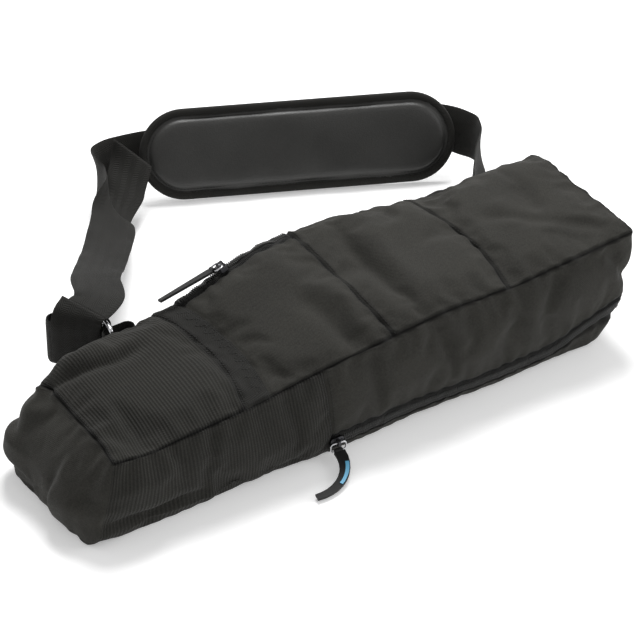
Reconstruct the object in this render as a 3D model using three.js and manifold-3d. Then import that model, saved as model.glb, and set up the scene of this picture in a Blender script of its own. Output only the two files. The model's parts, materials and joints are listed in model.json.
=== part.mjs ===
// Padded carry case for a small telescope: a long soft bag with a zipped lid, an outer pocket and a
// shoulder strap. Millimetres, +Z up. X runs along the bag from its foot end (-) to its wider head end
// (+), +Y points to the side the shoulder strap is on, and the origin is the centre of the flat base.
import * as THREE from "three";
import { mergeVertices } from "three/addons/utils/BufferGeometryUtils.js";
import Module from "manifold-3d";

const wasm = await Module();
wasm.setup();

// ---- driving dimensions ----
const LENGTH = 600; // between the end seams of the top panel
const HALF = LENGTH / 2;
const BASE_HALF_FOOT = 76; // half width of the base at the foot end
const BASE_HALF_HEAD = 88; // half width of the base at the head end
const FABRIC = 2; // outer fabric with its backing
const FOAM = 6; // foam with its lining
const LAYER_GAP = 0.4; // between two layers
const SEAM_GAP = 0.3; // between two panels of one layer, on each side
const CORNER_RADIUS = 10; // where the sides meet the base
const ZIP_HEIGHT = 19; // centre of the main zipper above the floor
const ZIP_HEIGHT_HEAD = 50; // the same round the head end
const ZIP_HALF = 7; // half the visible width of the main zipper
const ZIP_START = -80; // where the main zipper begins, on both long sides
const WEDGE_START = -72; // where the stiff part of the lid begins just above the zipper
const LID_EDGE = 0; // where the stiff part of the lid begins on the top panel
const WEBBING = 50; // strap width
const WEB_THICK = 2.2;

const FOAM_TOP = FABRIC + LAYER_GAP;
const FOAM_BOTTOM = FOAM_TOP + FOAM;
const WALL = FOAM_BOTTOM + LAYER_GAP;

// ---- colours and finishes ----
const fabric = { color: 0x2c2b29, roughness: 0.92, metalness: 0 };
const ribbed = { color: 0x2a2927, roughness: 0.95, metalness: 0 };
const webbing = { color: 0x262626, roughness: 0.8, metalness: 0 };
const lining = { color: 0x3a3b3d, roughness: 0.95, metalness: 0 };
const zipper = { color: 0x1b1b1b, roughness: 0.6, metalness: 0 };
const neoprene = { color: 0x2b2b2a, roughness: 0.9, metalness: 0 };
const steel = { color: 0xb9babd, roughness: 0.25, metalness: 1 };
const darkMetal = { color: 0x4c4c4e, roughness: 0.35, metalness: 1 };
const rubber = { color: 0x151515, roughness: 0.55, metalness: 0 };
const blue = { color: 0x3fa9dc, roughness: 0.5, metalness: 0 };

// ---- the scene graph ----
const group = new THREE.Group();

function add(name, geometry, look, parent = group) {
  const mesh = new THREE.Mesh(geometry, new THREE.MeshStandardMaterial(look));
  mesh.name = name;
  parent.add(mesh);
  return mesh;
}

// A value read off a line of [x, value] keys.
function along(keys, x) {
  const last = keys.length - 1;
  if (x <= keys[0][0]) return keys[0][1];
  if (x >= keys[last][0]) return keys[last][1];
  const k = keys.findIndex((key) => key[0] > x) - 1;
  const [x0, v0] = keys[k];
  const [x1, v1] = keys[k + 1];
  return THREE.MathUtils.mapLinear(x, x0, x1, v0, v1);
}

function geometryOf(positions, faces) {
  const g = new THREE.BufferGeometry();
  g.setAttribute("position", new THREE.Float32BufferAttribute(positions.flat(), 3));
  g.setIndex(faces.flat());
  g.computeVertexNormals();
  return g;
}

// ---- the bag's cross-section ----
const nearEdgeHeight = [[-300, 84], [-260, 80], [-160, 88], [-75, 99], [60, 112], [147, 110], [300, 121]];
const farEdgeHeight = [[-300, 84], [-265, 104], [-140, 108], [-42, 141], [12, 142], [165, 122], [300, 119]];
const nearEdgeReach = [[-300, 66], [300, 82]];
const farEdgeReach = [[-300, 72], [-265, 80], [0, 89], [300, 88]];
const topCrown = 7;
const farRoll = 7; // the top panel swells over a ridge before its far edge
const sideBulge = 6;

const TOP_SHARES = [0.18, 0.38, 0.6, 0.78, 0.91]; // of the way across the top panel
const TOP_STEPS = TOP_SHARES.length + 1;
const BASE_STEPS = 4;
const ZIP_STEPS = 2; // the lower and the upper half of the main zipper
const SIDE_SHARES = [0.3, 0.58, 0.84, 1]; // of the way from the main zipper up to the top edge
const SIDE_STEPS = SIDE_SHARES.length;

// Index of each run of the outline, which starts at the far end of the base and goes round by the near
// side: base, near corner, near lower side, near zipper, near upper side, top, and back down the far side.
const BASE = 0;
const NEAR_CORNER = BASE + BASE_STEPS;
const NEAR_LOWER = NEAR_CORNER + 2;
const NEAR_ZIP = NEAR_LOWER + 1;
const NEAR_UPPER = NEAR_ZIP + ZIP_STEPS;
const TOP = NEAR_UPPER + SIDE_STEPS;
const FAR_UPPER = TOP + TOP_STEPS;
const FAR_ZIP = FAR_UPPER + SIDE_STEPS;
const FAR_LOWER = FAR_ZIP + ZIP_STEPS;
const FAR_CORNER = FAR_LOWER + 1;
const OUTLINE = FAR_CORNER + 2;

const baseHalf = (x) => THREE.MathUtils.mapLinear(x, -HALF, HALF, BASE_HALF_FOOT, BASE_HALF_HEAD);
const zipHeight = (x) => along([[190, ZIP_HEIGHT], [HALF, ZIP_HEIGHT_HEAD]], x);

// One side's points from the base corner up to the top edge, with y counted outwards.
function sidePoints(x, reach, height) {
  const half = baseHalf(x);
  const zip = zipHeight(x);
  const points = [];
  for (const turn of [0, Math.PI / 4, Math.PI / 2])
    points.push([
      half - CORNER_RADIUS * (1 - Math.sin(turn)),
      CORNER_RADIUS * (1 - Math.cos(turn)),
    ]);
  const outwards = (z) => {
    const up = z / height;
    return THREE.MathUtils.lerp(half, reach, up) + sideBulge * 4 * up * (1 - up);
  };
  const heights = [zip - ZIP_HALF, zip, zip + ZIP_HALF];
  for (const share of SIDE_SHARES) heights.push(THREE.MathUtils.lerp(zip + ZIP_HALF, height, share));
  for (const z of heights) points.push([outwards(z), z]);
  return points;
}

// The outline at station x as [y, z] points, one for each index above.
function outlineAt(x) {
  const near = sidePoints(x, along(nearEdgeReach, x), along(nearEdgeHeight, x));
  const far = sidePoints(x, along(farEdgeReach, x), along(farEdgeHeight, x));
  const flat = baseHalf(x) - CORNER_RADIUS;
  const points = [];
  for (let k = 0; k < BASE_STEPS; k++) points.push([flat - (2 * flat * k) / BASE_STEPS, 0]);
  for (const [y, z] of near) points.push([-y, z]);
  const [y0, z0] = near[near.length - 1];
  const [y1, z1] = far[far.length - 1];
  const ridge = TOP_SHARES[TOP_SHARES.length - 1];
  for (const t of TOP_SHARES) {
    const rise = topCrown * 4 * t * (1 - t) + farRoll * THREE.MathUtils.smoothstep(t, 0.5, ridge);
    points.push([THREE.MathUtils.lerp(-y0, y1, t), THREE.MathUtils.lerp(z0, z1, t) + rise]);
  }
  for (const [y, z] of far.slice(1).reverse()) points.push([y, z]);
  return points;
}

// How far the foot end swells out and the head end tucks in, at height z.
const footEnd = (z) => -HALF - 34 * Math.max(0, 1 - z / 88) ** 0.8;
const headEnd = (z) => HALF - 42 * Math.max(0, 1 - z / 105) ** 1.3;

const STATIONS = [
  -300, -265, -228, -190, -165, -138, -110, ZIP_START, WEDGE_START, -54, -36, -18, LID_EDGE,
  40, 88, 138, 180, 225, 265, 300,
];
const LAST = STATIONS.length - 1;
const SKEW = 0.12; // the cross seams of the top panel lean towards the foot end on the far side

// Outline points and outward directions at each station, worked out once.
const sections = STATIONS.map((x) => {
  const points = outlineAt(x);
  const normals = points.map((p, j) => {
    const before = points[(j + OUTLINE - 1) % OUTLINE];
    const after = points[(j + 1) % OUTLINE];
    const a = new THREE.Vector2(p[1] - before[1], before[0] - p[0]).normalize();
    const b = new THREE.Vector2(after[1] - p[1], p[0] - after[0]).normalize();
    const n = a.clone().add(b).normalize();
    return n.divideScalar(Math.max(0.5, n.dot(a))).negate();
  });
  return { points, normals };
});

// The point of the bag's surface at station i and outline index j, depth mm inside it.
function shellPoint(i, j, depth) {
  const { points, normals } = sections[i];
  const [y, z] = points[j % OUTLINE];
  const n = normals[j % OUTLINE];
  const share = STATIONS[i] / HALF;
  const skewed = STATIONS[i] - SKEW * (1 - share * share) * y;
  const stretch = (skewed + HALF) / LENGTH;
  const pull = Math.min(1, Math.abs(stretch < 0.5 ? stretch : 1 - stretch) / 0.15);
  const straight = THREE.MathUtils.lerp(-HALF, HALF, stretch);
  const edge = THREE.MathUtils.lerp(footEnd(z), headEnd(z), stretch);
  return new THREE.Vector3(THREE.MathUtils.lerp(edge, straight, pull), y - n.x * depth, z - n.y * depth);
}

// The same, with the end stations drawn back along the bag by trim.
function trimmedPoint(i, j, depth, trim) {
  const point = shellPoint(i, j, depth);
  if (!trim || (i > 0 && i < LAST)) return point;
  const next = shellPoint(i ? i - 1 : i + 1, j, depth);
  return point.lerp(next, trim / Math.abs(next.x - point.x));
}

// ---- panels ----
// A slab of the bag's wall between two depths, over the grid triangles that inside(x, j) keeps, where x
// and j are the triangle's middle. Its edges draw back by SEAM_GAP from the neighbouring panels.
function panel(inside, outer, inner, trim = 0) {
  const triangles = [];
  for (let i = 0; i < LAST; i++)
    for (let j = 0; j < OUTLINE; j++) {
      const far = j >= FAR_UPPER;
      const cell = far
        ? [[[0, 0], [1, 0], [0, 1]], [[1, 0], [1, 1], [0, 1]]]
        : [[[0, 0], [1, 0], [1, 1]], [[0, 0], [1, 1], [0, 1]]];
      for (const corners of cell) {
        const middleX = corners.reduce((sum, [di]) => sum + STATIONS[i + di] / 3, 0);
        const middleJ = corners.reduce((sum, [, dj]) => sum + (j + dj) / 3, 0);
        if (inside(middleX, middleJ))
          triangles.push(corners.map(([di, dj]) => [i + di, (j + dj) % OUTLINE]));
      }
    }
  const key = ([i, j]) => i * OUTLINE + j;
  const vertexOf = new Map();
  const vertices = [];
  for (const corner of triangles.flat())
    if (!vertexOf.has(key(corner))) {
      vertexOf.set(key(corner), vertices.length);
      vertices.push({ corner, edge: false, pull: [] });
    }
  const faces = triangles.map((t) => t.map((corner) => vertexOf.get(key(corner))));
  const edges = new Map();
  for (const [a, b, c] of faces)
    for (const [p, q] of [[a, b], [b, c], [c, a]]) edges.set(p + "," + q, [p, q]);
  const rim = [...edges.values()].filter(([p, q]) => !edges.has(q + "," + p));
  for (const v of rim.flat()) vertices[v].edge = true;
  const place = (depth) => {
    const points = vertices.map(({ corner: [i, j] }) => trimmedPoint(i, j, depth, trim));
    const middles = faces.map((f) =>
      f.reduce((m, v) => m.addScaledVector(points[v], 1 / 3), new THREE.Vector3()),
    );
    return points.map((p, v) => {
      if (!vertices[v].edge) return p;
      const towards = new THREE.Vector3();
      faces.forEach((f, k) => f.includes(v) && towards.add(middles[k].clone().sub(p).normalize()));
      return p.clone().addScaledVector(towards.normalize(), SEAM_GAP * 1.5);
    });
  };
  const count = vertices.length;
  const positions = [...place(outer), ...place(inner)].map((p) => p.toArray());
  const solid = [
    ...faces,
    ...faces.map(([a, b, c]) => [a + count, c + count, b + count]),
    ...rim.flatMap(([p, q]) => [[p, q + count, q], [p, p + count, q + count]]),
  ];
  return geometryOf(positions, solid);
}

// The sloping line on each side, from just above the zipper up to the lid's stiff edge.
const wedgeSlope = (LID_EDGE - WEDGE_START) / SIDE_STEPS;
const wedgeLine = (j) => {
  const level = j < TOP ? j - NEAR_UPPER : FAR_ZIP - j;
  return WEDGE_START + wedgeSlope * Math.max(0, level);
};

// A wall across one end of the bag, between two shares of its height, from depth outer to depth inner.
function endWall(end, low, high, outer, inner, rows, columns = 6) {
  const i = end < 0 ? 0 : LAST;
  const { points } = sections[i];
  const nearSide = points.slice(NEAR_CORNER, TOP + 1);
  const farSide = [...points.slice(FAR_UPPER), points[0]].reverse();
  const atHeight = (side, z) => {
    const k = Math.max(1, side.findIndex((p) => p[1] >= z));
    const [[y0, z0], [y1, z1]] = [side[k - 1], side[k]];
    return THREE.MathUtils.mapLinear(z, z0, z1, y0, y1);
  };
  const [, nearTop] = points[TOP];
  const [, farTop] = points[FAR_UPPER];
  const positions = [];
  for (const depth of [outer, inner])
    for (let r = 0; r <= rows; r++)
      for (let c = 0; c <= columns; c++) {
        const t = c / columns;
        const share = THREE.MathUtils.lerp(low, high, r / rows);
        const crest = THREE.MathUtils.lerp(nearTop, farTop, t) - WALL + topCrown * 3 * t * (1 - t);
        const z = THREE.MathUtils.lerp(WALL + 2, crest, share);
        const y0 = atHeight(nearSide, Math.min(z, nearTop - 1)) + WALL;
        const y1 = atHeight(farSide, Math.min(z, farTop - 1)) - WALL;
        const swell = 7 * 4 * t * (1 - t) * Math.sin(Math.PI * Math.min(1, z / nearTop));
        const x = end < 0 ? footEnd(z) - swell + depth : headEnd(z) + swell - depth;
        positions.push([x, THREE.MathUtils.lerp(y0, y1, t), z]);
      }
  const wide = columns + 1;
  const layer = wide * (rows + 1);
  const faces = [];
  for (let r = 0; r < rows; r++)
    for (let c = 0; c < columns; c++) {
      const a = r * wide + c;
      faces.push([a, a + 1, a + wide + 1], [a, a + wide + 1, a + wide]);
      faces.push([a + layer, a + layer + wide + 1, a + layer + 1]);
      faces.push([a + layer, a + layer + wide, a + layer + wide + 1]);
    }
  const wall = (a, b) => faces.push([a, b + layer, b], [a, a + layer, b + layer]);
  for (let c = 0; c < columns; c++) {
    wall(c, c + 1);
    wall(rows * wide + c + 1, rows * wide + c);
  }
  for (let r = 0; r < rows; r++) {
    wall((r + 1) * wide, r * wide);
    wall(r * wide + columns, (r + 1) * wide + columns);
  }
  return geometryOf(positions, end < 0 ? faces.map(([a, b, c]) => [a, c, b]) : faces);
}

// ---- outer fabric ----
const between = (v, low, high) => v > low && v < high;
const onTop = (j) => between(j, TOP, FAR_UPPER);
const onNear = (j) => between(j, NEAR_UPPER, TOP);
const onFar = (j) => between(j, FAR_UPPER, FAR_ZIP);
const BAND_START = -165; // the webbing band across the top panel
const BAND_END = -138;
const HEAD_PANEL = 138; // the seam between the lid's two top panels

function outerFabric() {
  const skin = (name, look, inside) => add(name, panel(inside, 0, FABRIC), look);
  skin("base_panel", fabric, (x, j) => j < NEAR_CORNER);
  skin("sleeve_side_near", ribbed, (x, j) => x < ZIP_START && between(j, NEAR_CORNER, TOP));
  skin("sleeve_side_far", ribbed, (x, j) => x < ZIP_START && j > FAR_UPPER);
  skin("sleeve_top_panel", ribbed, (x, j) => x < BAND_START && onTop(j));
  skin("top_webbing_band", webbing, (x, j) => between(x, BAND_START, BAND_END) && onTop(j));
  skin("lower_gusset_near", fabric, (x, j) => x > ZIP_START && between(j, NEAR_CORNER, NEAR_ZIP));
  skin("lower_gusset_far", fabric, (x, j) => x > ZIP_START && j > FAR_LOWER);
  skin("hinge_panel", fabric, (x, j) => between(x, BAND_END, LID_EDGE) && onTop(j));
  const hinged = (x, j, low, high) => between(j, low, high) && between(x, ZIP_START, wedgeLine(j));
  skin("hinge_gusset_near", fabric, (x, j) => hinged(x, j, NEAR_ZIP + 1, TOP));
  skin("hinge_gusset_far", fabric, (x, j) => hinged(x, j, FAR_UPPER, FAR_ZIP + 1));
  skin("lid_mid_panel", fabric, (x, j) => between(x, LID_EDGE, HEAD_PANEL) && onTop(j));
  skin("lid_head_panel", fabric, (x, j) => x > HEAD_PANEL && onTop(j));
  skin("upper_gusset_near", fabric, (x, j) => onNear(j) && x > wedgeLine(j));
  skin("upper_gusset_far", fabric, (x, j) => onFar(j) && x > wedgeLine(j));
  add("foot_end_panel", endWall(-1, 0, 1, 0, FABRIC, 5), fabric);
}

// The height shares at which the head end wall is cut, below, in the middle of and above the zipper.
const headWall = outlineAt(HALF)[TOP][1] - 2 * WALL;
const headCuts = [-ZIP_HALF, 0, ZIP_HALF].map((step) => (ZIP_HEIGHT_HEAD + step - WALL) / headWall);
const CUT_GAP = 0.006; // of the end wall's height

function headEndFabric() {
  const [low, middle, high] = headCuts;
  add("lower_gusset_head", endWall(1, 0, low, 0, FABRIC, 2), fabric);
  add("zipper_lower_head", endWall(1, low + CUT_GAP, middle - CUT_GAP, 0, FABRIC, 1), zipper);
  add("zipper_upper_head", endWall(1, middle, high - CUT_GAP, 0, FABRIC, 1), zipper);
  add("upper_gusset_head", endWall(1, high, 1, 0, FABRIC, 3), fabric);
}

// ---- main zipper ----
function mainZipper() {
  const tape = (name, inside) => add(name, panel(inside, 0, FABRIC), zipper);
  const nearMiddle = NEAR_ZIP + 1;
  const farMiddle = FAR_ZIP + 1;
  tape("zipper_lower_near", (x, j) => x > ZIP_START && between(j, NEAR_ZIP, nearMiddle));
  tape("zipper_upper_near", (x, j) => x > WEDGE_START && between(j, nearMiddle, NEAR_UPPER));
  tape("zipper_upper_far", (x, j) => x > WEDGE_START && between(j, FAR_ZIP, farMiddle));
  tape("zipper_lower_far", (x, j) => x > ZIP_START && between(j, farMiddle, FAR_LOWER));
}

// ---- outer pocket, a flat patch on top of the wall ----
const POCKET_OUT = -2.2;
const POCKET_IN = -0.4;

function pocket() {
  const overHinge = (x) => between(x, BAND_END, LID_EDGE);
  const patch = (x, j) => overHinge(x) && between(j, TOP, FAR_UPPER - 1);
  add("pocket_panel", panel(patch, POCKET_OUT, POCKET_IN), fabric);
  const zipStrip = (x, j) => overHinge(x) && between(j, FAR_UPPER - 1, FAR_UPPER);
  add("pocket_zipper", panel(zipStrip, POCKET_OUT, POCKET_IN), zipper);
}

// ---- foam with its lining ----
function foam() {
  const pad = (name, inside) => add(name, panel(inside, FOAM_TOP, FOAM_BOTTOM, WALL + 1), lining);
  pad("base_foam", (x, j) => j < NEAR_ZIP || j > FAR_LOWER);
  pad("sleeve_foam_near", (x, j) => x < ZIP_START && between(j, NEAR_ZIP, TOP));
  pad("sleeve_foam_far", (x, j) => x < ZIP_START && between(j, FAR_UPPER, FAR_LOWER));
  pad("sleeve_foam_top", (x, j) => x < ZIP_START && onTop(j));
  pad("hinge_foam_top", (x, j) => onTop(j) && between(x, ZIP_START, LID_EDGE));
  const blunt = (j) => Math.min(wedgeLine(j), LID_EDGE - 15); // leaves out the wedge's thin tip
  pad("hinge_foam_near", (x, j) => onNear(j) && between(x, ZIP_START, blunt(j)));
  pad("hinge_foam_far", (x, j) => onFar(j) && between(x, ZIP_START, blunt(j)));
  pad("lid_foam_top", (x, j) => x > LID_EDGE && onTop(j));
  pad("lid_foam_near", (x, j) => onNear(j) && x > wedgeLine(j));
  pad("lid_foam_far", (x, j) => onFar(j) && x > wedgeLine(j));
  const [, middle, high] = headCuts;
  add("foot_foam", endWall(-1, 0, 1, FOAM_TOP, FOAM_BOTTOM, 5), lining);
  add("head_foam_lower", endWall(1, 0, middle - 4 * CUT_GAP, FOAM_TOP, FOAM_BOTTOM, 2), lining);
  add("head_foam_upper", endWall(1, high, 1, FOAM_TOP, FOAM_BOTTOM, 3), lining);
}

// ---- small helpers for the hardware ----
const vec = (x, y, z) => new THREE.Vector3(x, y, z);

function manifoldOf(geometry) {
  const plain = geometry.clone();
  for (const name of Object.keys(plain.attributes)) if (name !== "position") plain.deleteAttribute(name);
  const merged = mergeVertices(plain, 1e-4);
  return new wasm.Manifold(
    new wasm.Mesh({
      numProp: 3,
      vertProperties: merged.attributes.position.array,
      triVerts: new Uint32Array(merged.index.array),
    }),
  );
}

// Several closed geometries joined into one.
function joined(...geometries) {
  const whole = geometries.map(manifoldOf).reduce((a, b) => a.add(b)).getMesh();
  const g = new THREE.BufferGeometry();
  g.setAttribute("position", new THREE.BufferAttribute(whole.vertProperties, 3));
  g.setIndex(new THREE.BufferAttribute(whole.triVerts, 1));
  g.computeVertexNormals();
  return g;
}

// A rounded rectangle, or a stadium where the radius is half the height, about the origin.
function roundedOutline(width, height, radius, target = new THREE.Shape()) {
  const x = width / 2 - radius;
  const y = height / 2 - radius;
  target.absarc(x, y, radius, 0, Math.PI / 2);
  target.absarc(-x, y, radius, Math.PI / 2, Math.PI);
  target.absarc(-x, -y, radius, Math.PI, 1.5 * Math.PI);
  target.absarc(x, -y, radius, 1.5 * Math.PI, 2 * Math.PI);
  return target;
}

function plate(shape, thickness, curveSegments = 4) {
  const g = new THREE.ExtrudeGeometry(shape, { depth: thickness, bevelEnabled: false, curveSegments });
  return g.translate(0, 0, -thickness / 2);
}

function frameShape(width, height, radius, wall) {
  const shape = roundedOutline(width, height, radius);
  const innerRadius = Math.max(0.4, radius - wall);
  const hole = roundedOutline(width - 2 * wall, height - 2 * wall, innerRadius, new THREE.Path());
  shape.holes.push(hole);
  return shape;
}

// A closed strip of even thickness between two rails, given as [left point, right point] pairs.
function stripBetween(rails, thickness) {
  const middles = rails.map(([left, right]) => left.clone().lerp(right, 0.5));
  const positions = [];
  rails.forEach(([left, right], k) => {
    const ahead = middles[Math.min(rails.length - 1, k + 1)].clone().sub(middles[Math.max(0, k - 1)]);
    const normal = ahead.cross(right.clone().sub(left)).normalize();
    for (const [point, side] of [[left, -1], [right, -1], [right, 1], [left, 1]])
      positions.push(point.clone().addScaledVector(normal, (side * thickness) / 2).toArray());
  });
  const faces = [];
  for (let k = 0; k + 1 < rails.length; k++)
    for (let side = 0; side < 4; side++) {
      const [p, q] = [4 * k + side, 4 * k + ((side + 1) % 4)];
      faces.push([p, q, q + 4], [p, q + 4, p + 4]);
    }
  const end = 4 * (rails.length - 1);
  faces.push([0, 3, 2], [0, 2, 1], [end, end + 1, end + 2], [end, end + 2, end + 3]);
  return geometryOf(positions, faces);
}

// A flat strap of even width through stations of [centre, width direction].
function ribbon(stations, width, thickness) {
  const rails = stations.map(([centre, wide], k) => {
    const before = stations[Math.max(0, k - 1)][0];
    const after = stations[Math.min(stations.length - 1, k + 1)][0];
    const ahead = after.clone().sub(before).normalize();
    const across = wide.clone().addScaledVector(ahead, -wide.dot(ahead)).normalize();
    return [-1, 1].map((side) => centre.clone().addScaledVector(across, (side * width) / 2));
  });
  return stripBetween(rails, thickness);
}

// A group whose own x, y and z run along the given directions from an origin.
function frameAt(origin, alongX, alongY) {
  const x = alongX.clone().normalize();
  const z = x.clone().cross(alongY).normalize();
  const y = z.clone().cross(x);
  const holder = new THREE.Group();
  holder.matrixAutoUpdate = false;
  holder.matrix.makeBasis(x, y, z).setPosition(origin);
  group.add(holder);
  return holder;
}

// ---- zipper sliders with their rings and pulls ----
const SLIDER = { length: 15, width: 10, lift: 0.6, thick: 4.4, bail: 4.6, bailWall: 1.3 };
const PULL_RING = { long: 18, short: 11, wire: 0.9 };
const PULL_LEAN = 8; // degrees below level at which the main pull reaches the floor
const POCKET_PULL_LIFT = 6;
const PULL = { width: 12, tip: 7, thick: 2.4, eye: 2.7, bore: 1.5, eyeWidth: 8, steps: 10 };
const MAIN_PULL = { length: 74, turn: 95 }; // it bends towards the foot end, in degrees over its length
const POCKET_PULL = { length: 60, turn: 0 };
const LABEL = { from: 0.2, to: 0.6, thick: 0.6 }; // along the main pull, on the outer side of its bend

// A slider lying on the tape, with its bail across the local y axis; z points away from the bag.
function sliderBody() {
  const top = SLIDER.lift + SLIDER.thick;
  const body = plate(roundedOutline(SLIDER.length, SLIDER.width, 3), SLIDER.thick);
  body.translate(0, 0, SLIDER.lift + SLIDER.thick / 2);
  const arch = new THREE.Shape();
  const half = SLIDER.width / 2 - 0.8;
  arch.moveTo(-half, -0.5);
  arch.lineTo(half, -0.5);
  arch.lineTo(half - 0.8, SLIDER.bail);
  arch.lineTo(-half + 0.8, SLIDER.bail);
  arch.closePath();
  const gap = new THREE.Path();
  const inner = half - SLIDER.bailWall;
  gap.moveTo(-inner, 0.3);
  gap.lineTo(-inner + 0.5, SLIDER.bail - SLIDER.bailWall);
  gap.lineTo(inner - 0.5, SLIDER.bail - SLIDER.bailWall);
  gap.lineTo(inner, 0.3);
  gap.closePath();
  arch.holes.push(gap);
  const bail = plate(arch, 2.6).rotateX(Math.PI / 2).rotateZ(Math.PI / 2).translate(0, 0, top);
  return joined(body, bail);
}

const pivotHeight = SLIDER.lift + SLIDER.thick + (SLIDER.bail - SLIDER.bailWall + 0.3) / 2;
const ringReach = PULL_RING.short - 2 * PULL_RING.wire; // between the ring's two long bars, middle to middle

// The ring in its own plane: its first bar lies on the local x axis and the ring reaches to -y.
function ringShape() {
  const wire = 2 * PULL_RING.wire;
  const shape = frameShape(PULL_RING.long, PULL_RING.short, 3.5, wire);
  return plate(shape, wire, 3).translate(0, -ringReach / 2, 0);
}

// A tapering strip in its own plane that leaves the eye towards -y and bends towards -x. It covers the
// shares from..to of the pull's length and the shares left..right of its half width.
function bentStrip({ length, turn }, from, to, left, right) {
  const bend = THREE.MathUtils.degToRad(turn);
  const middle = (t) => {
    const radius = length / Math.max(bend, 0.001);
    const angle = Math.max(bend, 0.001) * t;
    return [-radius * (1 - Math.cos(angle)), -(PULL.eye + PULL.bore) / 2 - radius * Math.sin(angle)];
  };
  const edge = (share, k) => {
    const t = THREE.MathUtils.lerp(from, to, k / PULL.steps);
    const [x, y] = middle(t);
    const half = (share * THREE.MathUtils.lerp(PULL.width, PULL.tip, t)) / 2;
    return new THREE.Vector2(x + half * Math.cos(bend * t), y - half * Math.sin(bend * t));
  };
  const points = [];
  for (let k = 0; k <= PULL.steps; k++) points.push(edge(left, k));
  for (let k = PULL.steps; k >= 0; k--) points.push(edge(right, k));
  return new THREE.Shape(points);
}

// The pull: an eye round the ring's second bar, on the local x axis, and its strip.
function pullShape(kind) {
  const eye = new THREE.Shape();
  eye.absarc(0, 0, PULL.eye, 0, 2 * Math.PI);
  eye.holes.push(new THREE.Path().absarc(0, 0, PULL.bore, 0, 2 * Math.PI));
  const barrel = plate(eye, PULL.eyeWidth, 6).rotateY(Math.PI / 2);
  return joined(barrel, plate(bentStrip(kind, 0, 1, -1, 1), PULL.thick));
}

// The bag's surface between stations: its point, and the directions along the bag and out of it.
function surfaceAt(x, j) {
  const i = STATIONS.findIndex((s) => s > x) - 1;
  const t = (x - STATIONS[i]) / (STATIONS[i + 1] - STATIONS[i]);
  const [low, share] = [Math.floor(j), j - Math.floor(j)];
  const row = (k) => shellPoint(i, k, 0).lerp(shellPoint(i + 1, k, 0), t);
  const step = shellPoint(i + 1, low, 0).sub(shellPoint(i, low, 0)).normalize();
  const across = row(low + 1).sub(row(low)).normalize();
  const out = step.clone().cross(across).normalize();
  return { point: row(low).lerp(row(low + 1), share), ahead: step, out };
}

const MAIN_SLIDER_X = ZIP_START + 4;
const POCKET_SLIDER_X = -80;
const RING_TURN = 5; // degrees the main ring has turned in its bail towards the foot end

// The main slider lies across the near zipper. Its ring hangs down, and the pull leans out to the floor.
function mainSlider() {
  const { point, ahead, out } = surfaceAt(MAIN_SLIDER_X, NEAR_ZIP + 1);
  const level = vec(ahead.x, ahead.y, 0);
  const outward = vec(out.x, out.y, 0);
  const up = vec(0, 0, 1);
  add("main_slider", sliderBody(), darkMetal, frameAt(point, level, up));
  const pivot = point.clone().addScaledVector(outward.normalize(), pivotHeight);
  const turned = level.clone().applyAxisAngle(up, THREE.MathUtils.degToRad(-RING_TURN));
  add("main_ring", ringShape(), steel, frameAt(pivot, turned, up));
  const hook = pivot.clone().addScaledVector(up, -ringReach);
  const lean = THREE.MathUtils.degToRad(PULL_LEAN);
  const back = up.clone().cross(turned).multiplyScalar(Math.cos(lean)).addScaledVector(up, Math.sin(lean));
  add("main_pull", pullShape(MAIN_PULL), rubber, frameAt(hook, turned, back));
  const label = plate(bentStrip(MAIN_PULL, LABEL.from, LABEL.to, 0.1, 0.8), LABEL.thick);
  label.translate(0, 0, (PULL.thick + LABEL.thick) / 2 + 0.3);
  add("main_pull_label", label, blue, frameAt(hook, turned, back));
  return { pivot, hook, axis: turned, slide: level };
}

// The pocket slider's pull lies back along the zipper, towards the foot end.
function pocketSlider() {
  const { point, ahead, out } = surfaceAt(POCKET_SLIDER_X, FAR_UPPER - 0.7);
  const across = out.clone().cross(ahead);
  const base = point.clone().addScaledVector(out, -POCKET_OUT);
  add("pocket_slider", sliderBody(), darkMetal, frameAt(base, across.clone().negate(), ahead));
  const pivot = base.clone().addScaledVector(out, pivotHeight);
  add("pocket_ring", ringShape(), steel, frameAt(pivot, across.clone().negate(), ahead));
  const hook = pivot.clone().addScaledVector(ahead, -ringReach);
  const lift = THREE.MathUtils.degToRad(POCKET_PULL_LIFT);
  const forwards = ahead.clone().multiplyScalar(Math.cos(lift)).addScaledVector(out, -Math.sin(lift));
  add("pocket_pull", pullShape(POCKET_PULL), rubber, frameAt(hook, across.clone().negate(), forwards));
  return { pivot, hook, across, slide: ahead };
}

// ---- shoulder strap ----
const PAD = { length: 350, height: 100, lean: 27, middle: vec(175, 339, 47), along: vec(0.898, -0.44, 0) };
const BINDING = { width: 10, thick: 9 }; // the tape round the pad's edge
const PAD_LAYERS = { front: [2.6, 7], core: [-2.4, 2.2], back: [-4.6, -2.8] };
const WEB_LEVEL = -6.5; // the webbing behind the pad, from the pad's middle plane
const SLEEVE = { length: 190, wall: 1.6, room: 0.8 }; // holds the webbing behind the pad
const RING = { width: 24, height: 60, radius: 6, wire: 4.5 };
const TAB = { length: 36, overlap: 8 };

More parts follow.
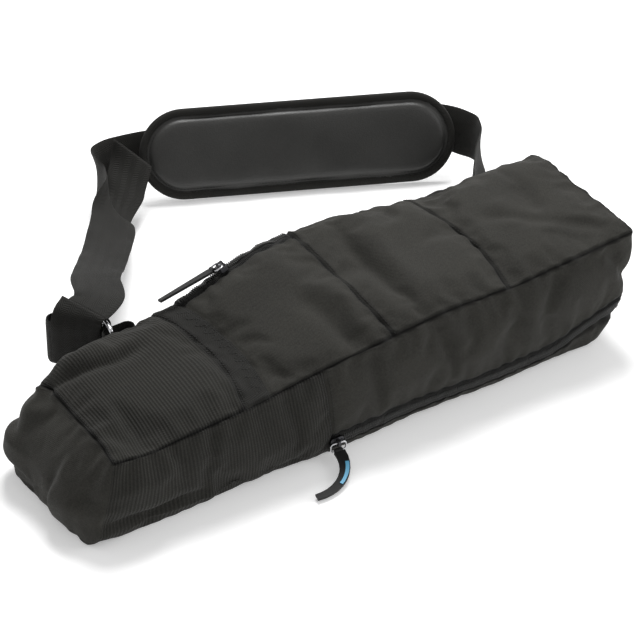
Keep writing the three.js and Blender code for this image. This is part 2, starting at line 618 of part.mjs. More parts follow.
// Where the strap meets the bag at each end. The tab's tongue is sewn to the bag on its low side.
const ENDS = {
  left: {
    ring: vec(-205.5, 104.5, 72),
    ringWay: vec(0.156, 0.988, 0),
    wide: vec(0, 0, 1),
    tabWay: vec(1, 0, 0),
    tongue: 34,
    tongueSide: -1,
    tabDepth: 16,
    tabRoom: 9,
    barRoom: 2.6,
    loopLength: 66,
    loopDepth: 18,
    slack: 2,
    loopWay: vec(-0.719, 0.695, 0),
  },
  right: {
    ring: vec(228, 130.7, 6.9),
    ringWay: vec(0, 1, 0),
    wide: vec(1, 0, 0),
    tabWay: vec(0, -1, 0),
    tongue: 13,
    tongueSide: 1,
    tabDepth: 11.6,
    tabRoom: 5.8,
    barRoom: 0,
    loopLength: 40,
    loopDepth: 12,
    slack: 0,
    loopWay: vec(0, 0.93, 0.36),
  },
};

// A closed band of webbing with its long side on the local x axis and its width on the local z axis.
function closedBand(length, depth) {
  return plate(frameShape(length, depth, depth / 2 - 0.01, WEB_THICK), WEBBING, 5);
}

// The ring, the tab that ties it to the bag and the strap's own loop. Returns the loop's middle.
function strapEnd(side) {
  const { ring, ringWay, wide, tabWay, tongue, tongueSide, tabDepth, tabRoom, barRoom } = ENDS[side];
  const { loopWay, loopLength, loopDepth, slack } = ENDS[side];
  const bars = (RING.width - RING.wire) / 2;
  const frame = frameShape(RING.width, RING.height, RING.radius, RING.wire);
  add("strap_ring_" + side, plate(frame, RING.wire, 3), steel, frameAt(ring, ringWay, wide));
  const loopMiddle = ring
    .clone()
    .addScaledVector(ringWay, bars)
    .addScaledVector(loopWay, (loopLength - loopDepth) / 2 + slack);
  const loopHolder = frameAt(loopMiddle, loopWay, wide.clone().cross(loopWay));
  add("strap_loop_" + side, closedBand(loopLength, loopDepth), webbing, loopHolder);
  const tabMiddle = ring
    .clone()
    .addScaledVector(ringWay, -bars)
    .addScaledVector(tabWay, TAB.length / 2 - tabRoom)
    .addScaledVector(ringWay, barRoom);
  const strip = plate(roundedOutline(tongue, WEB_THICK, 0.5), WEBBING, 2);
  const sewn = (TAB.length + tongue) / 2 - TAB.overlap;
  strip.translate(sewn, (tongueSide * (tabDepth - WEB_THICK)) / 2, 0);
  const tabHolder = frameAt(tabMiddle, tabWay, wide.clone().cross(tabWay));
  add("strap_tab_" + side, joined(closedBand(TAB.length, tabDepth), strip), webbing, tabHolder);
  return loopMiddle;
}

// The pad leans back from the floor. padUp runs up its face and padFront points out of it.
const padAlong = PAD.along.clone().normalize();
const padLean = THREE.MathUtils.degToRad(PAD.lean);
const padUp = vec(-padAlong.y, padAlong.x, 0).multiplyScalar(Math.sin(padLean)).setZ(Math.cos(padLean));
const padFront = padAlong.clone().cross(padUp);

// A point on the webbing's line behind the pad, at distance x from the pad's middle.
const padLine = (x) =>
  PAD.middle.clone().addScaledVector(padAlong, x).addScaledVector(padFront, WEB_LEVEL);

function shoulderPad() {
  const holder = frameAt(PAD.middle, padAlong, padUp);
  const inside = BINDING.width + LAYER_GAP;
  const layer = (name, [low, high], look) => {
    const height = PAD.height - 2 * inside;
    const outline = roundedOutline(PAD.length - 2 * inside, height, height / 2 - 0.01);
    const slab = plate(outline, high - low, 8).translate(0, 0, (low + high) / 2);
    add(name, slab, look, holder);
  };
  layer("pad_front", PAD_LAYERS.front, neoprene);
  layer("pad_core", PAD_LAYERS.core, lining);
  layer("pad_back", PAD_LAYERS.back, rubber);
  const rim = frameShape(PAD.length, PAD.height, PAD.height / 2 - 0.01, BINDING.width);
  add("pad_binding", plate(rim, BINDING.thick, 8), webbing, holder);
  const sleeve = new THREE.Shape();
  const inner = WEBBING / 2 + SLEEVE.room;
  const outer = inner + SLEEVE.wall;
  const near = PAD_LAYERS.back[0] - LAYER_GAP;
  const far = WEB_LEVEL - WEB_THICK / 2 - SLEEVE.room;
  const corners = [
    [-outer, near], [-outer, far - SLEEVE.wall], [outer, far - SLEEVE.wall], [outer, near],
    [inner, near], [inner, far], [-inner, far], [-inner, near],
  ];
  sleeve.setFromPoints(corners.map(([x, y]) => new THREE.Vector2(x, y)));
  const tunnel = plate(sleeve, SLEEVE.length).rotateX(Math.PI / 2).rotateZ(Math.PI / 2);
  add("pad_sleeve", tunnel, webbing, holder);
}

// The webbing from each end of the bag to the middle of the pad. On the left it twists upright, turns
// back behind the pad and leaves its free tail folded down in front.
function strapWebbing(leftLoop, rightLoop) {
  const half = PAD.length / 2;
  const strip = (name, stations) => add(name, ribbon(stations, WEBBING, WEB_THICK), webbing);
  const offset = (side) => (ENDS[side].loopDepth + WEB_THICK) / 2 + 0.5;
  const leftWide = ENDS.left.loopWay.clone().negate();
  const leftOut = ENDS.left.wide.clone().cross(ENDS.left.loopWay);
  const leftFace = leftLoop.clone().addScaledVector(leftOut, offset("left"));
  const overLoop = (up, back, aside = 0) =>
    leftFace.clone().addScaledVector(leftOut, -back).addScaledVector(leftWide, aside).setZ(leftLoop.z + up);
  const padDown = padUp.clone().negate();
  const upright = (share) => leftWide.clone().lerp(padDown, share).normalize();
  strip("strap_end_left", [
    [overLoop(-22, 0), leftWide],
    [overLoop(26, 0), leftWide],
    [overLoop(34, 3, 2), leftWide],
    [overLoop(38, 12, 6), leftWide],
  ]);
  strip("strap_left", [
    [overLoop(38, 13.6, 9), leftWide],
    [overLoop(37, 26, 14), leftWide],
    [vec(-172, 184, 98), leftWide],
    [vec(-144, 223, 79), leftWide],
    [vec(-97, 287, 54), upright(0.1)],
    [vec(-56, 348, 38), upright(0.4)],
    [vec(-43, 378, 35), upright(0.85)],
    [vec(-38, 398, 37), padDown],
    [vec(-33, 418, 38), padDown],
    [vec(-24, 431, 40), padDown],
    [vec(-8, 433, 42), padDown],
    [padLine(-half - 16), padDown],
    [padLine(-0.5), padDown],
  ]);
  const tail = [
    [vec(-24, 391, 34), vec(-24, 356, 24)],
    [vec(-20, 404, 42), vec(-8, 367, 27)],
    [vec(-13, 424, 54), vec(2, 377, 32)],
    [vec(-4, 430, 72), vec(21, 394, 46)],
  ];
  add("strap_tail", stripBetween(tail, WEB_THICK), webbing);
  const { loopWay, wide } = ENDS.right;
  const rightFace = rightLoop.clone().addScaledVector(wide.clone().cross(loopWay), offset("right"));
  const onLoop = (ahead) => rightFace.clone().addScaledVector(loopWay, ahead);
  const level = (turn) => wide.clone().applyAxisAngle(vec(0, 0, 1), THREE.MathUtils.degToRad(-turn));
  const raised = (turn, share) => level(turn).lerp(padUp, share).normalize();
  strip("strap_right", [
    [onLoop(-14), wide],
    [onLoop(18), wide],
    [onLoop(23).setZ(26), level(3)],
    [vec(233, 184, 21), level(16)],
    [vec(244, 195, 15), level(42)],
    [vec(263, 201, 9), level(72)],
    [vec(284, 201, 9), level(86)],
    [vec(303, 202, 15), raised(88, 0.35)],
    [vec(320, 206, 29), raised(90, 0.72)],
    [vec(334, 217, 38), padUp],
    [vec(344, 233, 42), padUp],
    [vec(347, 248, 43), padUp],
    [padLine(half + 8), padUp],
    [padLine(0.5), padUp],
  ]);
}

outerFabric();
headEndFabric();
mainZipper();
pocket();
foam();
mainSlider();
pocketSlider();
shoulderPad();
strapWebbing(strapEnd("left"), strapEnd("right"));

export default group;
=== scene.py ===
"""Looks of the padded telescope carry case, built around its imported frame.

Lengths are millimetres in the shape functions and metres in Blender. X runs from the case's foot end
to its head end, +Y is the side the shoulder strap lies on, and Z is up.
"""

import json
import math

import bpy
import numpy as np
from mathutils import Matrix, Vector
from mathutils.bvhtree import BVHTree


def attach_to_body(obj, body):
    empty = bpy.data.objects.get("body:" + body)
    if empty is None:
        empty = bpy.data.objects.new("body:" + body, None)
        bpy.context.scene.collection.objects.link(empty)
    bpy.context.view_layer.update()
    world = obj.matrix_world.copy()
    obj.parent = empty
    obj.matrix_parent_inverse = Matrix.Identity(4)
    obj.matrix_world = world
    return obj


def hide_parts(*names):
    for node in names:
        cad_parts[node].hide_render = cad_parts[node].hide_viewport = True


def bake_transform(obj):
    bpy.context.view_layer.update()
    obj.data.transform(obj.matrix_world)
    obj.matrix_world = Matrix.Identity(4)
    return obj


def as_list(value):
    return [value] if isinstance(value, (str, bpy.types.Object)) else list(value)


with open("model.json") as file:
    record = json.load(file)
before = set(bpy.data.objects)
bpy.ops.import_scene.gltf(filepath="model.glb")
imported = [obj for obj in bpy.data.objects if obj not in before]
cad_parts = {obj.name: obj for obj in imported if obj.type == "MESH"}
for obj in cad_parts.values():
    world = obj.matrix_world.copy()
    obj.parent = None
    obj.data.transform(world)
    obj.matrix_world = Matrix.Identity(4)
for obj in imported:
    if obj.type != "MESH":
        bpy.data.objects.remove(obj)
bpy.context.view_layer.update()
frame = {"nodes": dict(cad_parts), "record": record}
scene = bpy.context.scene
MM = 0.001

# ---- camera ----
VIEW_AZIMUTH = math.radians(-34.4)
VIEW_ELEVATION = math.radians(36)
VIEW_DISTANCE = 2.8
VIEW_TARGET = Vector((0.0005, 0.0405, 0.06))
LENS = 157.9

def aimed(obj, place, target):
    """Links an object to the scene at a place, looking at a target."""
    scene.collection.objects.link(obj)
    obj.location = place
    obj.rotation_mode = "QUATERNION"
    obj.rotation_quaternion = (Vector(target) - Vector(place)).to_track_quat("-Z", "Y")


flat_share = math.cos(VIEW_ELEVATION)
back = Vector(
    (math.sin(VIEW_AZIMUTH) * flat_share, -math.cos(VIEW_AZIMUTH) * flat_share, math.sin(VIEW_ELEVATION))
)
camera = bpy.data.objects.new("camera", bpy.data.cameras.new("camera"))
aimed(camera, VIEW_TARGET + back * VIEW_DISTANCE, VIEW_TARGET)
camera.data.lens = LENS
camera.data.clip_start = 0.1
camera.data.clip_end = 30
scene.camera = camera


# ---- materials ----
class Graph:
    """A material's nodes, with the few steps that the procedural looks need."""

    def __init__(self, name):
        self.material = bpy.data.materials.new(name)
        self.material.use_nodes = True
        self.tree = self.material.node_tree
        self.shader = self.tree.nodes["Principled BSDF"]

    def add(self, kind, inputs=(), **settings):
        """A new node's first output."""
        made = self.tree.nodes.new(kind)
        for key, value in settings.items():
            setattr(made, key, value)
        for socket, value in dict(inputs).items():
            self.feed(made.inputs[socket], value)
        return made.outputs[0]

    def feed(self, socket, value):
        if isinstance(value, bpy.types.NodeSocket):
            self.tree.links.new(value, socket)
        else:
            socket.default_value = value

    def math(self, operation, *values):
        return self.add("ShaderNodeMath", enumerate(values), operation=operation)

    def total(self, base, *terms):
        """A base plus some values, each times its share."""
        for value, share in terms:
            base = self.math("MULTIPLY_ADD", value, share, base)
        return base

    def sine(self, value, pitch):
        """A wave between 0 and 1."""
        turned = self.math("MULTIPLY", value, 2 * math.pi / pitch)
        return self.total(0.5, (self.math("SINE", turned), 0.5))

    def flat(self):
        """The cloth's own coordinates, in millimetres along and across it."""
        uv = self.add("ShaderNodeUVMap", uv_map="flat")
        split = self.add("ShaderNodeSeparateXYZ", {0: uv}).node.outputs
        return [self.math("MULTIPLY", split[k], 1 / MM) for k in (0, 1)]

    def place(self):
        return self.add("ShaderNodeTexCoord").node.outputs["Object"]

    def noise(self, scale, detail=3.0, roughness=0.55):
        inputs = {"Vector": self.place(), "Scale": scale, "Detail": detail, "Roughness": roughness}
        return self.add("ShaderNodeTexNoise", inputs)

    def attribute(self, name):
        return self.add("ShaderNodeAttribute", attribute_name=name).node.outputs["Fac"]

    def blend(self, share, low, high):
        """A colour between low and high."""
        inputs = {"Factor": share}
        for socket, colour in ((6, low), (7, high)):
            inputs[socket] = colour if isinstance(colour, bpy.types.NodeSocket) else (*colour, 1.0)
        return self.add("ShaderNodeMix", inputs, data_type="RGBA").node.outputs[2]

    def scaled(self, value, low, high):
        """A 0..1 value mapped to low..high."""
        return self.add("ShaderNodeMapRange", {"Value": value, "To Min": low, "To Max": high})

    def bumped(self, *layers):
        """The normal over layers of bumps, each a height, its depth in millimetres and its strength."""
        inputs = {}
        for height, depth, strength in layers:
            inputs |= {"Height": height, "Distance": depth * MM, "Strength": strength}
            inputs["Normal"] = self.add("ShaderNodeBump", inputs)
        return inputs["Normal"]

    def set(self, **values):
        for name, value in values.items():
            self.feed(self.shader.inputs[name.replace("_", " ")], value)


def woven(name, dark, light, rib=0.0, rib_depth=0.0, shaded_seams=True, sheen=0.05):
    """Woven nylon: fine crossed threads, optional cross ribs, slight fading, and painted shade that darkens
    the cloth in and beside its seams.
    """
    g = Graph(name)
    u, v = g.flat()
    threads = g.math("MULTIPLY", g.sine(u, 1.1), g.sine(v, 1.1))
    twill = g.sine(g.math("ADD", u, v), 2.3)
    patches = g.noise(26.0, 5.0)
    fuzz = g.noise(560.0, 3.0, 0.7)
    tone = g.total(-0.55, (patches, 0.7), (fuzz, 1.5), (threads, 0.12), (twill, 0.09))
    layers = [(threads, 0.3, 0.7), (twill, 0.2, 0.5)]
    if rib:
        ribs = g.sine(u, rib)
        broken = g.math("MULTIPLY", ribs, g.total(0.5, (g.sine(v, rib * 0.8), 0.35)))
        ribs = g.total(broken, (ribs, 0.65))
        tone = g.total(tone, (ribs, 0.17))
        layers.append((ribs, rib_depth, 0.8))
    layers.append((g.noise(160.0, 4.0), 0.9, 0.35))
    colour = g.blend(g.scaled(tone, 0.0, 0.95), dark, light)
    if shaded_seams:
        # Painted shade: the colour goes nearly black on the seam share, which is highest in the seams'
        # grooves and fades beside them.
        seam = g.math("POWER", g.attribute("seam"), 2.2)
        colour = g.blend(seam, colour, tuple(c * 0.08 for c in dark))
    g.set(Base_Color=colour, Normal=g.bumped(*layers), Roughness=g.scaled(patches, 0.72, 0.92))
    g.set(Sheen_Weight=sheen, Sheen_Roughness=0.45, Specular_IOR_Level=0.22)
    return g.material


def webbing_look(name, dark, light):
    """Webbing: a herringbone of fine ribs."""
    g = Graph(name)
    u, v = g.flat()
    ribs = g.sine(g.total(u, (g.math("PINGPONG", v, 6.0), 0.8)), 2.1)
    weave = g.math("MULTIPLY", ribs, g.total(0.5, (g.sine(v, 1.5), 0.5)))
    weave = g.total(weave, (ribs, 0.5))
    patches = g.noise(40.0, 4.0)
    tone = g.total(0.0, (patches, 0.6), (weave, 0.45))
    g.set(Base_Color=g.blend(tone, dark, light), Normal=g.bumped((weave, 0.35, 0.8), (patches, 1.0, 0.3)))
    g.set(Roughness=g.scaled(weave, 0.7, 0.88), Sheen_Weight=0.04, Specular_IOR_Level=0.25)
    return g.material


def neoprene_look(name, dark, light):
    g = Graph(name)
    pores = g.add("ShaderNodeTexVoronoi", {"Vector": g.place(), "Scale": 620.0})
    patches = g.noise(22.0, 5.0)
    tone = g.total(0.0, (patches, 0.7), (g.noise(420.0, 3.0), 0.5))
    normal = g.bumped((pores, 0.25, 0.6), (g.noise(70.0, 3.0), 0.8, 0.3))
    g.set(Base_Color=g.blend(tone, dark, light), Normal=normal)
    g.set(Roughness=g.scaled(patches, 0.38, 0.62), Sheen_Weight=0.03, Specular_IOR_Level=0.45)
    return g.material


def metal_look(name, colour, rough):
    g = Graph(name)
    marks = g.noise(300.0, 6.0, 0.7)
    worn = tuple(min(1.0, c * 1.25) for c in colour)
    g.set(Base_Color=g.blend(g.noise(55.0, 4.0), colour, worn), Metallic=1.0)
    g.set(Roughness=g.scaled(marks, rough * 0.7, rough * 1.5), Normal=g.bumped((marks, 0.05, 0.4)))
    return g.material


def moulded_look(name, dark, light, rough):
    g = Graph(name)
    patches = g.noise(45.0, 4.0)
    g.set(Base_Color=g.blend(patches, dark, light), Normal=g.bumped((g.noise(700.0, 3.0), 0.12, 0.5)))
    g.set(Roughness=g.scaled(patches, rough * 0.85, rough * 1.15), Specular_IOR_Level=0.3)
    return g.material


LOOKS = {
    name: look(name, *values)
    for name, look, *values in (
        ("outer_fabric", woven, (0.0125, 0.0119, 0.0100), (0.038, 0.0366, 0.0314)),
        ("ribbed_fabric", woven, (0.0085, 0.0082, 0.0070), (0.0275, 0.0266, 0.0230), 3.0, 0.6),
        ("webbing", webbing_look, (0.0050, 0.0048, 0.0042), (0.0180, 0.0174, 0.0150)),
        ("foam_lining", woven, (0.05, 0.05, 0.052), (0.1, 0.1, 0.104), 0.0, 0.0, False, 0.3),
        ("zipper_tape", woven, (0.010, 0.010, 0.0095), (0.030, 0.0298, 0.028), 1.6, 0.35),
        ("neoprene", neoprene_look, (0.014, 0.014, 0.013), (0.036, 0.0355, 0.033)),
        ("grip_rubber", moulded_look, (0.02, 0.02, 0.02), (0.034, 0.034, 0.033), 0.6),
        ("steel", metal_look, (0.66, 0.66, 0.68), 0.22),
        ("slider_metal", metal_look, (0.07, 0.07, 0.075), 0.34),
        ("pull_rubber", moulded_look, (0.007, 0.007, 0.007), (0.016, 0.016, 0.016), 0.6),
        ("pull_label", moulded_look, (0.10, 0.42, 0.68), (0.18, 0.55, 0.80), 0.4),
        ("thread", moulded_look, (0.012, 0.012, 0.011), (0.03, 0.03, 0.028), 0.7),
        ("coil", moulded_look, (0.024, 0.024, 0.023), (0.050, 0.050, 0.048), 0.36),
    )
}


# ---- mesh helpers ----
def put(name, points, faces, look, uvs=None, seam=None):
    """A mesh object from millimetre points. uvs holds one pair per face corner, in metres."""
    mesh = bpy.data.meshes.new(name)
    mesh.from_pydata((np.asarray(points, float) * MM).tolist(), [], [list(map(int, f)) for f in faces])
    if uvs is not None:
        layer = mesh.uv_layers.new(name="flat")
        layer.data.foreach_set("uv", np.asarray(uvs, np.float32).ravel())
    if seam is not None:
        mesh.attributes.new("seam", "FLOAT", "POINT").data.foreach_set("value", np.asarray(seam, np.float32))
    mesh.polygons.foreach_set("use_smooth", np.ones(len(mesh.polygons), bool))
    mesh.update()
    obj = bpy.data.objects.new(name, mesh)
    scene.collection.objects.link(obj)
    mesh.materials.append(LOOKS[look])
    return obj


def read(data, key, size, kind=float):
    values = np.empty(len(data) * size, kind)
    data.foreach_get(key, values)
    return values


def evaluated(obj):
    """The points and quads of an object with its modifiers, and what its corners, points and quads hold."""
    made = obj.evaluated_get(bpy.context.evaluated_depsgraph_get())
    mesh = made.to_mesh()
    points = read(mesh.vertices, "co", 3).reshape(-1, 3) / MM
    quads = read(mesh.loops, "vertex_index", 1, int).reshape(-1, 4)
    held = {}
    if mesh.uv_layers:
        held["uvs"] = read(mesh.uv_layers[0].data, "uv", 2).reshape(-1, 4, 2)
    for key, kind in (("seam", float), ("zone", np.int32)):
        if key in mesh.attributes:
            held[key] = read(mesh.attributes[key].data, "value", 1, kind)
    made.to_mesh_clear()
    return points, quads, held


def unit(rows):
    """A vector, or each row of an array of them, at length one."""
    rows = np.asarray(rows, float)
    return rows / np.maximum(np.linalg.norm(rows, axis=-1, keepdims=True), 1e-9)


def square_to(points, quads):
    """A vector square to each quad, as long as twice its area."""
    a, b, c, d = (points[quads[:, k]] for k in range(4))
    return np.cross(c - a, d - b)


def normals_of(points, quads):
    """Unit normals at the points of a quad mesh."""
    total = np.zeros_like(points)
    for k in range(4):
        np.add.at(total, quads[:, k], square_to(points, quads))
    return unit(total)


def sides_of(corners):
    """What the two ends of each quad's four sides hold, from what its corners hold."""
    return np.concatenate([corners[:, [k, (k + 1) % 4]] for k in range(4)])


def neighbour_mean(values, edges):
    """The mean of what each point's neighbours hold."""
    total = np.zeros_like(values)
    np.add.at(total, edges[:, 0], values[edges[:, 1]])
    np.add.at(total, edges[:, 1], values[edges[:, 0]])
    return (total.T / np.bincount(edges.ravel(), minlength=len(values))).T


QUAD = ((0, 0), (0, 1), (1, 1), (1, 0))


def grid_quads(rows, cols, flip=False):
    """The quads between a grid's rows, each row closing on itself, as (row, column) corners."""
    steps = [step[::-1] for step in QUAD] if flip else QUAD
    return [[(i + a, j + b) for a, b in steps] for i in range(rows) for j in range(cols)]


def numbered(quads, rows, cols):
    """The point numbers of (row, column) corners, with both counts wrapping round."""
    return [[a % rows * cols + b % cols for a, b in quad] for quad in quads]


def slab(name, points, normals, quads, uvs, seam, outer, inner, look):
    """A closed sheet of cloth over some quads of a surface, from depth outer to depth inner below it."""
    used, local = np.unique(quads, return_inverse=True)
    local = local.reshape(-1, 4)
    count = len(used)
    top = points[used] - normals[used] * outer
    bottom = points[used] - normals[used] * inner
    edges = sides_of(local)
    keys = edges[:, 0] * count + edges[:, 1]
    rim = ~np.isin(keys, edges[:, 1] * count + edges[:, 0])
    p, q = edges[rim].T
    walls = np.stack([q, p, p + count, q + count], axis=1)
    wall_uvs = sides_of(uvs)[rim][:, [1, 0, 0, 1]]
    faces = np.concatenate([local, local[:, ::-1] + count, walls])
    corner_uvs = np.concatenate([uvs, uvs[:, ::-1], wall_uvs])
    verts = np.concatenate([top, bottom])
    obj = put(name, verts, faces, look, corner_uvs, np.tile(seam[used], 2))
    corners = np.repeat(unit(square_to(verts, faces))[:, None], 4, axis=1)
    corners[: len(local)] = normals[used][local]
    obj.data.normals_split_custom_set(corners.reshape(-1, 3).tolist())
    return obj


def near_line(points, line):
    """Distance of each point from a polyline, with the share of the way along it."""
    line = np.asarray(line, float)
    best = np.full(len(points), 1e9)
    share = np.zeros(len(points))
    pieces = len(line) - 1
    for k in range(pieces):
        a, d = line[k], line[k + 1] - line[k]
        t = np.clip(((points - a) @ d) / (d @ d), 0, 1)
        away = np.linalg.norm(points - a - t[:, None] * d, axis=1)
        closer = away < best
        best[closer] = away[closer]
        share[closer] = (k + t[closer]) / pieces
    return best, share


# ---- the bag's surface ----
HALF = 300
CORNER = 10
ZIP_HALF = 7
ZIP_START = -80
BAND = (-165, -138)
LID_EDGE = 0
HEAD_SEAM = 138
SKEW = 0.12
NEAR_HEIGHT = [(-300, 84), (-260, 80), (-160, 88), (-75, 99), (60, 112), (147, 110), (300, 121)]
FAR_HEIGHT = [(-300, 84), (-265, 104), (-140, 108), (-42, 141), (12, 142), (165, 122), (300, 119)]
NEAR_REACH = [(-300, 66), (300, 82)]
FAR_REACH = [(-300, 72), (-265, 80), (0, 89), (300, 88)]
BASE_HALF = [(-300, 76), (300, 88)]
ZIP_LEVEL = [(190, 19), (300, 50)]
TOP_CROWN = 7
FAR_ROLL = 7
ROLL_WIDE = 0.41  # of the top's width, from its middle to where the roll is highest
ROLL_EDGE = 0.09  # of the top's width, over which the roll turns down to the far edge
ROLL_DROP = 0.6
SIDE_BULGE = 6

CELL = 5.0  # of the cloth's grid, in millimetres
ACROSS = 40  # cells across the top and across the base
LEVELS = {"corner": 4, "lower": 2, "zip_low": 2, "zip_high": 2, "side": 20}
UP = sum(LEVELS.values())
ZIP_LOW_ROW = LEVELS["corner"] + LEVELS["lower"]
ZIP_ROW = ZIP_LOW_ROW + LEVELS["zip_low"]
SIDE_ROW = ZIP_ROW + LEVELS["zip_high"]
AROUND = 2 * (ACROSS + UP)
POCKET_ZIP_CELLS = 4
MARKS = [-HALF, *BAND, ZIP_START, LID_EDGE, HEAD_SEAM, HALF]
STATIONS = np.concatenate(
    [
        np.linspace(a, b, round((b - a) / CELL), endpoint=False)
        for a, b in zip(MARKS, MARKS[1:])
    ]
    + [[HALF]]
)


def keyed(keys, x):
    return np.interp(x, *zip(*keys))


def softened(values, steps=8):
    """Values along the bag with their corners rounded off, ends kept."""
    for _ in range(steps):
        padded = np.concatenate([[values[0]], values, [values[-1]]])
        values = np.concatenate([values[:1], (padded[:-2] + 2 * values + padded[2:])[1:-1] / 4, values[-1:]])
    return values


near_height, far_height = (softened(keyed(keys, STATIONS)) for keys in (NEAR_HEIGHT, FAR_HEIGHT))


def side_profile(x, reach, height):
    """Points from the base corner up to the top edge, as (outwards, up)."""
    half = keyed(BASE_HALF, x)
    zip_z = keyed(ZIP_LEVEL, x)
    turn = np.linspace(0, math.pi / 2, LEVELS["corner"] + 1)
    arc = np.stack([half - CORNER * (1 - np.sin(turn)), CORNER * (1 - np.cos(turn))], axis=1)
    stops = [CORNER, zip_z - ZIP_HALF, zip_z, zip_z + ZIP_HALF, height]
    counts = [LEVELS[k] for k in ("lower", "zip_low", "zip_high", "side")]
    z = np.concatenate([np.linspace(a, b, n + 1)[1:] for a, b, n in zip(stops, stops[1:], counts)])
    up = z / height
    out = half + (reach - half) * up + SIDE_BULGE * 4 * up * (1 - up)
    return np.concatenate([arc, np.stack([out, z], axis=1)])


def outline(k):
    """The cross-section at station k, round from the far end of the base by the near side, as (y, z)."""
    x = STATIONS[k]
    near = side_profile(x, keyed(NEAR_REACH, x), near_height[k])
    far = side_profile(x, keyed(FAR_REACH, x), far_height[k])
    flat = keyed(BASE_HALF, x) - CORNER
    base = np.stack([np.linspace(flat, -flat, ACROSS + 1)[:-1], np.zeros(ACROSS)], axis=1)
    t = np.linspace(0, 1, ACROSS + 1)[1:-1]
    ridge = np.clip((t - 0.5) / ROLL_WIDE, 0, 1)
    rise = TOP_CROWN * 4 * t * (1 - t) + FAR_ROLL * ridge**2 * (3 - 2 * ridge)
    edge = np.clip((1 - t) / ROLL_EDGE, 0, 1)
    rise -= FAR_ROLL * (1 - edge) * ROLL_DROP
    top_y = -near[-1, 0] + (far[-1, 0] + near[-1, 0]) * t
    top_z = near[-1, 1] + (far[-1, 1] - near[-1, 1]) * t + rise
    near = near * [-1, 1]
    return np.concatenate([base, near, np.stack([top_y, top_z], axis=1), far[:0:-1]])


FOOT_SWELL = 34
FOOT_TOP = 88
FOOT_BULGE = 15
HEAD_TUCK = 42
HEAD_TOP = 105
HEAD_BULGE = 9
END_SHARE = 0.15  # of the bag's length, over which the cloth is drawn to its end's shape


def foot_x(z):
    return -HALF - FOOT_SWELL * np.maximum(0, 1 - z / FOOT_TOP) ** 0.8


def head_x(z):
    return HALF - HEAD_TUCK * np.maximum(0, 1 - z / HEAD_TOP) ** 1.3


def ring(k):
    """The cross-section at station k as points, leaning with the cross seams and fitted to both ends."""
    yz = outline(k)
    share = STATIONS[k] / HALF
    skewed = STATIONS[k] - SKEW * (1 - share**2) * yz[:, 0]
    stretch = (skewed + HALF) / (2 * HALF)
    pull = np.minimum(1, np.minimum(stretch, 1 - stretch) / END_SHARE)
    edge = foot_x(yz[:, 1]) * (1 - stretch) + head_x(yz[:, 1]) * stretch
    return np.column_stack([edge * (1 - pull) + skewed * pull, yz])


def end_wall(rim, end):
    """A grid of points across one end of the bag, [across, up], filled in between its rim's points."""
    near = rim[ACROSS : ACROSS + UP + 1]
    top = rim[ACROSS + UP : 2 * ACROSS + UP + 1]
    far = np.concatenate([rim[2 * ACROSS + UP :], rim[:1]])[::-1]
    bottom = rim[: ACROSS + 1][::-1]
    a = np.linspace(0, 1, ACROSS + 1)[:, None, None]
    b = np.linspace(0, 1, UP + 1)[None, :, None]
    sides = (1 - a) * near[None] + a * far[None]
    ends = (1 - b) * bottom[:, None] + b * top[:, None]
    corners = (1 - a) * ((1 - b) * near[0] + b * near[-1]) + a * ((1 - b) * far[0] + b * far[-1])
    grid = sides + ends - corners
    z = grid[..., 2]
    swell = 4 * a[..., 0] * (1 - a[..., 0]) * np.sin(np.pi * np.clip(z / FOOT_TOP, 0, 1)) ** 0.8
    grid[..., 0] = foot_x(z) - FOOT_BULGE * swell if end < 0 else head_x(z) + HEAD_BULGE * swell
    return grid


BOWS = [((BAND[0] + BAND[1]) / 2, 14.0), (HEAD_SEAM, 12.0)]
BOW_REACH = 45


def bowed(rings):
    """Slides the top's cloth along itself, so that the seams across it bow towards the head end."""
    made = rings.copy()
    first = ACROSS + UP
    for j in range(first + 1, first + ACROSS):
        t = (j - first) / ACROSS
        moved = STATIONS.copy()
        for middle, amount in BOWS:
            moved -= amount * math.sin(math.pi * t) * np.exp(-(((STATIONS - middle) / BOW_REACH) ** 2))
        for k in range(3):
            made[:, j, k] = np.interp(STATIONS, moved, rings[:, j, k])
    return made


